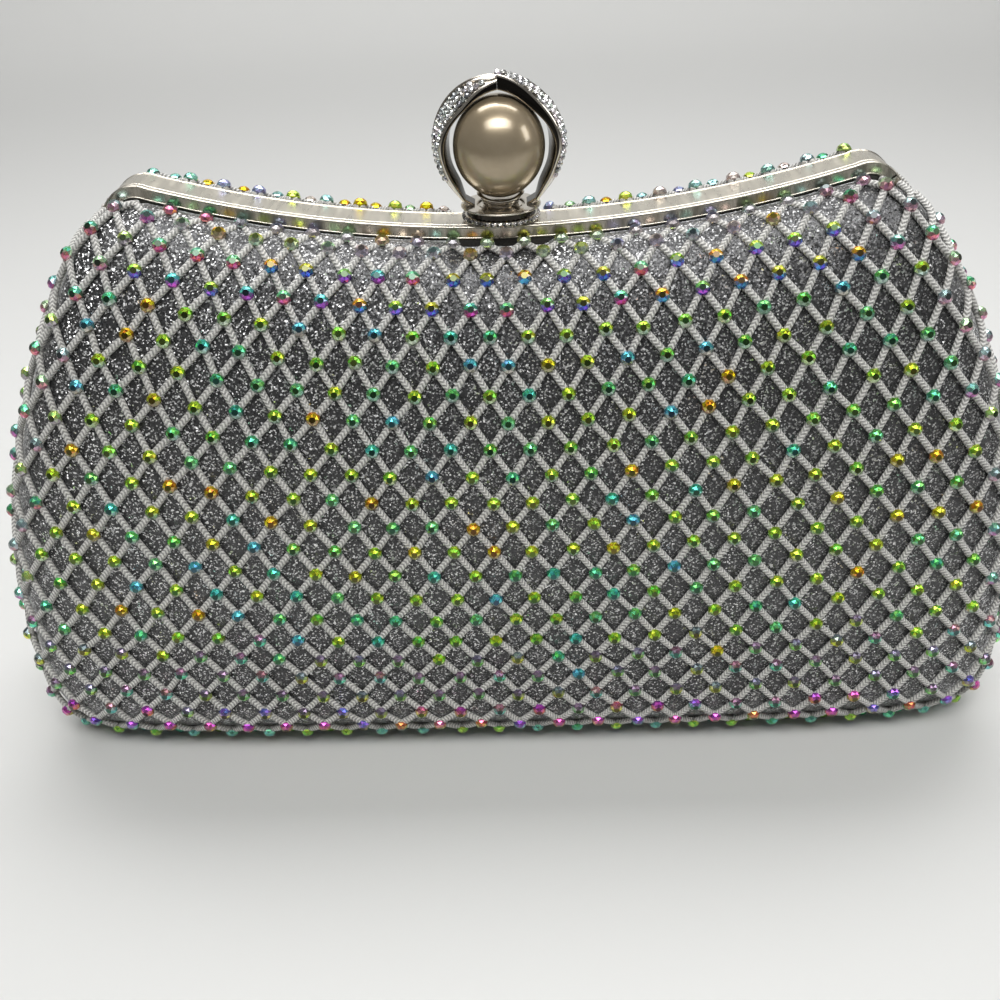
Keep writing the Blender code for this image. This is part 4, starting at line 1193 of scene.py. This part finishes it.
class Band:
    """One of the ring's two bands, as the solid has it, at a place on its way from foot to tip."""

    def __init__(self, side, place):
        self.side = side
        self.angle = smooth_through(BAND_STATIONS, place)
        self.outer, self.rim, self.mouth = (
            RING_RADIUS * smooth_through(shares[side], place)
            for shares in (BAND_OUTER_SHARES, BAND_RIM_SHARES, BAND_MOUTH_SHARES))
        self.throat = RING_RADIUS * smooth_through(BAND_THROAT_SHARES, place)
        self.front = -BAND_HALF_DEPTH * smooth_through(BAND_FORTH_SHARES, place)
        self.back = BAND_HALF_DEPTH * smooth_through(BAND_BACK_SHARES[side], place)
        self.start = np.array((self.rim, self.front + BAND_EDGE))
        self.way = np.array((self.outer, self.back - BAND_EDGE)) - self.start
        self.width = float(np.hypot(*self.way))
        self.away = np.array((self.way[1], -self.way[0])) / self.width
        self.channel = self.width - LINE_WIDTH - TWIN_LINES_WIDTH
        if side == LEFT:
            self.channel *= 1 - LEAF_NARROWING * ease(self.angle, LEAF_NARROWS, LEAF_ENDS)

    def face(self, reach, lift=0.0):
        """Radius and depth of a point of the outer face, so far from the front rim."""
        share = reach / self.width
        out = 4 * BAND_BULGE * share * (1 - share) + lift
        return self.start + self.way * share + self.away * out

    def point(self, spot, foot=False):
        """A spot of (radius, depth) in the bag's frame; a band's foot is cut off level."""
        radius, y = spot
        out, up = radius * math.sin(self.angle), -radius * math.cos(self.angle)
        if foot:
            up = BAND_FOOT_Z - RING_Z
            out = math.sqrt(radius ** 2 - up ** 2)
        return self.side * (out + BAND_GAP / 2), y, RING_Z + up

    def section(self):
        """A polished wall in front, a channel for stones between a fine line and a twin line."""
        front, back, edge = self.front, self.back, BAND_EDGE
        sunk = -CHANNEL_DEPTH * ease(self.angle, STONES_START - CHANNEL_RUN_IN, STONES_START)
        spots = [(self.throat, back), (self.mouth, front + edge),
                 (self.mouth + edge / 3, front + edge / 3),
                 (self.mouth + edge * 0.7, front), (self.rim - edge, front),
                 (self.rim - edge / 3, front + edge / 4), (self.rim, front + edge * 0.7)]
        near, far = LINE_WIDTH, LINE_WIDTH + self.channel
        twin = self.width - TWIN_LINES_WIDTH
        for reach, lift in (
                (0.0, 0.0), (near * 0.5, 0.00006), (near, 0.0), (near + 0.00006, sunk),
                (far - 0.00006, sunk), (far, 0.0), (max(far + 0.00001, twin), 0.0),
                (twin + 0.00015, 0.00008), (twin + 0.00030, 0.0), (twin + 0.00036, -0.00012),
                (twin + 0.00044, -0.00012), (twin + 0.00050, 0.0), (twin + 0.00065, 0.00006),
                (self.width, 0.0)):
            spots.append(self.face(reach, lift))
        spots += [(self.outer - edge / 4, back - edge / 4), (self.outer - edge, back)]
        return spots


def make_band(name, side):
    rings = []
    for i in range(BAND_STEPS + 1):
        band = Band(side, (len(BAND_STATIONS) - 1) * i / BAND_STEPS)
        rings.append([band.point(spot, foot=not i) for spot in band.section()])
    band = loft(name, rings, sharp=math.radians(28))
    wear(band, materials["nickel"], materials["painted_shade_plate"])
    # The throat's inner wall and the front wall take the plate painted dark as shade and dark
    # reflection.
    for face in band.data.polygons:
        spot = face.index % len(rings[0])
        face.material_index = int(spot in (0, 3) and face.index < BAND_STEPS * len(rings[0]))
    return band


def make_pave(name, side, seed):
    """Rows of small clear stones in a band's channel, more where the band is wide."""
    points = []
    outward = []
    upward = []
    covered = 0.0
    row = 0
    for i in range(PAVE_STEPS):
        band = Band(side, (len(BAND_STATIONS) - 1) * i / PAVE_STEPS)
        ahead = Band(side, (len(BAND_STATIONS) - 1) * (i + 1) / PAVE_STEPS)
        reach = LINE_WIDTH + band.channel / 2
        step = np.array(ahead.point(ahead.face(reach))) - np.array(band.point(band.face(reach)))
        covered += float(np.linalg.norm(step))
        room = band.channel - PAVE_MARGIN
        if (covered < PAVE_RADIUS * PAVE_ROW_SHARE or band.angle < STONES_START
                or room < PAVE_RADIUS * PAVE_ROOM_SHARE):
            continue
        count = max(1, int(room / (PAVE_RADIUS * PAVE_PITCH_SHARE)))
        spare = max(room - count * PAVE_RADIUS * 2, 0)
        for k in range(count):
            shift = (k - (count - 1) / 2) * (PAVE_RADIUS * 2 + spare / count * PAVE_SPREAD)
            shift += (row % 2 - 0.5) * min(spare / count, PAVE_RADIUS)
            seat_lift = PAVE_RADIUS * PAVE_LIFT_SHARE - CHANNEL_DEPTH
            low, high, seat = (band.point(band.face(reach + shift, lift))
                               for lift in (0.0, MM, seat_lift))
            points.append(seat)
            outward.append((np.array(high) - np.array(low)) / MM)
            upward.append(step)
        covered = 0.0
        row += 1
    chance = np.random.default_rng(seed)
    colours = []
    # Each stone's brightness is a painted glint: mostly bright, some middling, a few dark.
    for _ in points:
        lights = [chance.uniform(*span) for span in ((0.75, 1.0), (0.45, 0.75), (0.12, 0.4))]
        light = chance.choice(lights, p=[0.62, 0.26, 0.12])
        tint = chance.normal(0, 0.04, 3)
        colours.append([min(1.0, light * (1 + t)) for t in tint] + [1.0])
    tilt = chance.normal(0, PAVE_TILT, (len(points), 3))
    marks = {"outward": np.array(outward) + tilt, "upward": upward, "upper_painted_colour": colours}
    return set_stones(name, points, marks, PAVE_RADIUS, "clear")


def bead(profile, radius, z, size, turns=7):
    """Add a half-round bead to a turned profile, bulging out from a radius, from the top down."""
    for k in range(turns + 1):
        turn = math.pi / 2 - math.pi * k / turns
        profile.append((radius + size * math.cos(turn), z + size * math.sin(turn)))


def make_drum():
    """The drum: a round lip on top, a plain groove painted dark as shade, and a foot bead set with
    stones.
    """
    top, bottom = DRUM_TOP, DRUM_BOTTOM
    profile = [(0, top - DISH_DEPTH), (DISH_RADIUS - 0.00015, top - DISH_DEPTH),
               (DISH_RADIUS, top - DISH_DEPTH + 0.00010), (DISH_RADIUS, top - 0.00012),
               (DISH_RADIUS + 0.00015, top)]
    bead(profile, DRUM_RADIUS - DRUM_LIP_BEAD, top - DRUM_LIP_BEAD, DRUM_LIP_BEAD)
    profile += [(GROOVE_RADIUS + 0.0001, top - 0.00042), (GROOVE_RADIUS, top - 0.00055),
                (GROOVE_RADIUS, GROOVE_FLOOR_Z)]
    bead(profile, DRUM_FOOT_RADIUS - 0.00040, DRUM_FOOT_BEAD_Z, DRUM_FOOT_BEAD)
    profile += [(DRUM_FOOT_RADIUS - 0.0007, bottom), (0, bottom)]
    drum = turned("turned_drum", profile)
    wear(drum, materials["nickel"], materials["painted_shade_plate"])
    # The groove takes the plate painted dark as shade.
    for face in drum.data.polygons:
        radius = math.hypot(face.center.x, face.center.y)
        in_groove = abs(radius - GROOVE_RADIUS) < 0.4 * MM and face.center.z > bottom + MM
        face.material_index = int(in_groove)
    return drum


def make_drum_stones():
    """Tiny clear stones set round the drum's foot bead."""
    radius = DRUM_FOOT_RADIUS - DRUM_STONE_SINK
    chance = random.Random(SEED)
    points = []
    outward = []
    colours = []
    for k in range(DRUM_STONES):
        turn = 2 * math.pi * (k + 0.5) / DRUM_STONES
        points.append((radius * math.cos(turn), radius * math.sin(turn), DRUM_FOOT_BEAD_Z))
        outward.append((math.cos(turn), math.sin(turn), DRUM_STONE_LEAN))
        # The stone's brightness is a painted glint.
        light = chance.uniform(0.15, 0.9)
        colours.append([light, light * 0.97, light * 0.95, 1.0])
    marks = {"outward": outward, "upward": [(0, 0, 1)] * DRUM_STONES, "upper_painted_colour": colours}
    return set_stones("drum_stones", points, marks, DRUM_STONE_RADIUS, "clear")


def make_cup():
    """The cup under the pearl: ridges, and a lip drawn up at both sides to hold it."""
    top, bottom = CUP_TOP, CUP_BOTTOM
    profile = [(0, top - 0.0009), (0.0016, top - 0.00078), (0.0030, top - 0.00042),
               (0.0038, top - 0.00008), (0.0041, top), (CUP_RADIUS, top - 0.00010),
               (CUP_RADIUS, top - 0.00022)]
    for k in range(CUP_RIDGES):
        taper, drop = CUP_TAPER * k, CUP_RIDGE_DROP * k
        bead(profile, 0.00365 - taper, top - 0.00056 - drop, CUP_RIDGE_SIZE, 5)
        profile.append((0.00325 - taper, top - 0.00082 - drop))
    profile += [(0.0029, bottom + 0.00010), (0.0040, bottom + 0.00010), (0.0040, bottom),
                (0, bottom)]
    cup = turned("ridged_cup", profile)
    for vertex in cup.data.vertices:
        x, y, z = vertex.co
        if z > top - CUP_LIP_DRAW and math.hypot(x, y) > 0.0034:
            vertex.co.z += CUP_LIP_DRAW * (x * x - y * y) / (x * x + y * y)
    wear(cup, materials["nickel"])
    return cup


def make_pearl():
    """The pearl, slightly taller than it is wide."""
    turns = [math.pi * k / PEARL_STEPS for k in range(PEARL_STEPS + 1)]
    profile = [(PEARL_RADIUS * math.sin(turn), PEARL_Z + PEARL_HALF_HEIGHT * math.cos(turn))
               for turn in turns]
    pearl = turned("champagne_pearl", profile)
    wear(pearl, materials["pearl"])
    return pearl


# The inside

def folds(depth, seed):
    """Soft creases of glued satin: shallow, and running down from the frame."""
    chance = random.Random(seed)
    waves = [(chance.uniform(5, 19), chance.uniform(0, 6.3), chance.uniform(0.3, 1))
             for _ in range(7)]

    def swell(skin, down, share):
        wave = sum(weight * np.sin(count * share * 3 + shift + down * 22)
                   for count, shift, weight in waves)
        wave = wave / sum(weight for _, _, weight in waves)
        fade = np.clip(down / CREASE_FADE_TOP, 0, 1)
        fade = fade * np.clip((skin.length - down) / CREASE_FADE_BASE, 0, 1)
        fade = fade * np.clip((1 - np.abs(share)) / CREASE_FADE_SIDE_SHARE, 0, 1)
        move = -depth * (0.5 + 0.5 * wave) * fade
        return skin.outward(down, share * skin.end(down)) * move[:, None]

    return swell


def make_lining(name, side, seed):
    """The satin that lines one half, closed round its edge as a thin solid."""
    skin = Skin(side, LINING_INSET, 0.0)
    back = Skin(side, LINING_INSET + LINING_THICKNESS, 0.0)
    lining = shell(name + "_satin", skin, back, LINING_MESH, swell=folds(CREASE_DEPTH, seed))
    wear(lining, materials["satin"])
    declare_sheet(skin, 0.0, 1.0)
    return lining


def make_pocket():
    """An open slip pocket of the lining's satin, glued on at both sides, with a corded hem."""
    skin = Skin(REAR, POCKET_INSET, 0.0)
    back = Skin(REAR, POCKET_INSET + POCKET_THICKNESS, 0.0)
    pocket = shell("pocket_satin", skin, back, POCKET_MESH, POCKET_START, POCKET_END)
    wear(pocket, materials["satin"])
    shares = np.linspace(-HEM_REACH_SHARE, HEM_REACH_SHARE, HEM_POINTS)
    level = Skin(REAR, POCKET_INSET + POCKET_THICKNESS / 2, 0.0)
    line = level.at_share(np.full(len(shares), POCKET_START * level.length), shares)
    hem = wind_cord("pocket_hem", [line], HEM_RADIUS, EDGE_CORD_SIDES, "satin")
    declare_sheet(skin, POCKET_START, POCKET_END)
    return pocket, hem


# The scene

def camera_and_lights():
    """The fitted camera, and lights above, behind, at the right and for the paper."""
    scene = bpy.context.scene
    forward = Vector((math.sin(CAMERA_YAW) * math.cos(CAMERA_PITCH),
                      math.cos(CAMERA_YAW) * math.cos(CAMERA_PITCH), -math.sin(CAMERA_PITCH)))
    level = Vector((math.cos(CAMERA_YAW), -math.sin(CAMERA_YAW), 0))
    up = level.cross(forward)
    right = level * math.cos(CAMERA_ROLL) + up * math.sin(CAMERA_ROLL)
    top = up * math.cos(CAMERA_ROLL) - level * math.sin(CAMERA_ROLL)
    camera = bpy.data.cameras.new("photo_camera")
    camera.lens = CAMERA_LENS
    camera.sensor_width = 36
    camera.clip_start = 0.01
    holder = bpy.data.objects.new("photo_camera", camera)
    holder.matrix_world = Matrix.Translation(CAMERA_PLACE) @ Matrix(
        (right, top, -forward)).transposed().to_4x4()
    scene.collection.objects.link(holder)
    scene.camera = holder
    scene.view_settings.view_transform = "Standard"
    for name, place, target, size, power, spread in (
            ("key_above_the_front", (0.0, -0.42, 0.78), (0, 0.0, 0.06), (1.1, 0.30), 1.4, 70),
            ("above_and_behind", (0.0, 0.30, 0.80), (0, 0.0, 0.06), (1.0, 0.30), 2.3, 100),
            ("right_strip", (0.75, -0.15, 0.40), (0, 0, 0.06), (0.2, 0.35), 0.25, 100),
            ("backdrop_wash", (0.0, 0.55, 1.15), (0, 1.3, 0.30), (1.8, 0.3), 10.0, 130)):
        light = bpy.data.lights.new(name, "AREA")
        light.shape = "RECTANGLE"
        light.size, light.size_y = size
        light.energy = power
        light.spread = math.radians(spread)
        lamp = bpy.data.objects.new(name, light)
        lamp.location = place
        lamp.rotation_euler = (Vector(target) - Vector(place)).to_track_quat("-Z", "Y").to_euler()
        scene.collection.objects.link(lamp)


def stage():
    """A sweep of background paper under and behind the bag, in a soft even room."""
    curve = [(-SWEEP_REACH, 0.0)]
    for k in range(SWEEP_STEPS + 1):
        turn = math.pi / 2 * k / SWEEP_STEPS
        curve.append((SWEEP_START_Y + SWEEP_BEND * math.sin(turn),
                      SWEEP_BEND * (1 - math.cos(turn))))
    curve.append((SWEEP_START_Y + SWEEP_BEND, SWEEP_REACH))
    points = [(x, y, z) for x in (-SWEEP_REACH, SWEEP_REACH) for y, z in curve]
    count = len(curve)
    faces = [(i, count + i, count + i + 1, i + 1) for i in range(count - 1)]
    mesh = bpy.data.meshes.new("pale_sweep")
    mesh.from_pydata(points, [], faces)
    mesh.shade_smooth()
    floor = put("pale_sweep", mesh)
    wear(floor, matt_paper())
    world = bpy.data.worlds.new("soft_room")
    bpy.context.scene.world = world
    world.use_nodes = True
    background = world.node_tree.nodes["Background"]
    background.inputs["Color"].default_value = linear("E6E6E6")
    background.inputs["Strength"].default_value = 0.17


def dress_metal():
    """Better finishes for the solids that stay."""
    finishes = {"nickel": ["clasp_lug_left", "clasp_lug_right", "latch_tongue", "catch_plate",
                           "pearl_post"],
                "steel": ["front_hinge_leaf", "rear_hinge_leaf", "hinge_pin", "clasp_pin",
                          "clasp_spring"],
                "board": ["front_board", "rear_board"]}
    for finish, names in finishes.items():
        for name in names:
            wear(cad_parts[name], materials[finish])


def ride_all(body, *things):
    for thing in things:
        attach(thing, body)


def main():
    camera_and_lights()
    stage()
    dress_metal()

    for name, side in (("front", FRONT), ("rear", REAR)):
        cloth, net, stones, edge = dress_half(name, side, SEED + side)
        rail = make_rail(name + "_rail", side)
        lining = make_lining(name, side, SEED + side)
        if side == REAR:
            cut_latch_slot(rail)
        ride_all(name + "_half", cloth, net, stones, edge, rail, lining)
        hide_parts(name + "_cover")
        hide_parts(name + "_frame")
        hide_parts(name + "_lining")

    pocket, hem = make_pocket()
    ride_all("rear_half", pocket, hem)
    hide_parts("slip_pocket")

    bands = [make_band("left_leaf", LEFT), make_band("right_leaf", RIGHT)]
    paves = [make_pave("left_pave", LEFT, SEED), make_pave("right_pave", RIGHT, SEED + 1)]
    drum = make_drum()
    drum_stones = make_drum_stones()
    cup = make_cup()
    pearl = make_pearl()
    ride_all("clasp", *bands, *paves, drum, drum_stones, cup, pearl)
    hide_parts("left_band")
    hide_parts("right_band")
    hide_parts("clasp_drum")
    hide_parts("pearl_cup")
    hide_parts("pearl")


materials = {"glitter": glitter_cloth(), "cord": net_cord(), "coated": coated_rhinestone(),
             "clear": clear_rhinestone(), "nickel": polished_nickel(), "painted_shade_plate": nickel_painted_dark_for_shade(),
             "rail": worn_nickel(), "face_shade_plate": nickel_painted_darker_face(), "cast": cast_zinc_painted_dark(),
             "steel": plated_steel(), "pearl": pearl_lacquer(), "satin": satin(),
             "board": fibre_board()}
trees = {"cord": cord_tree(), "stone": stone_tree()}
unit_stone = cut_stone("unit_stone")
main()
bpy.data.objects.remove(unit_stone)
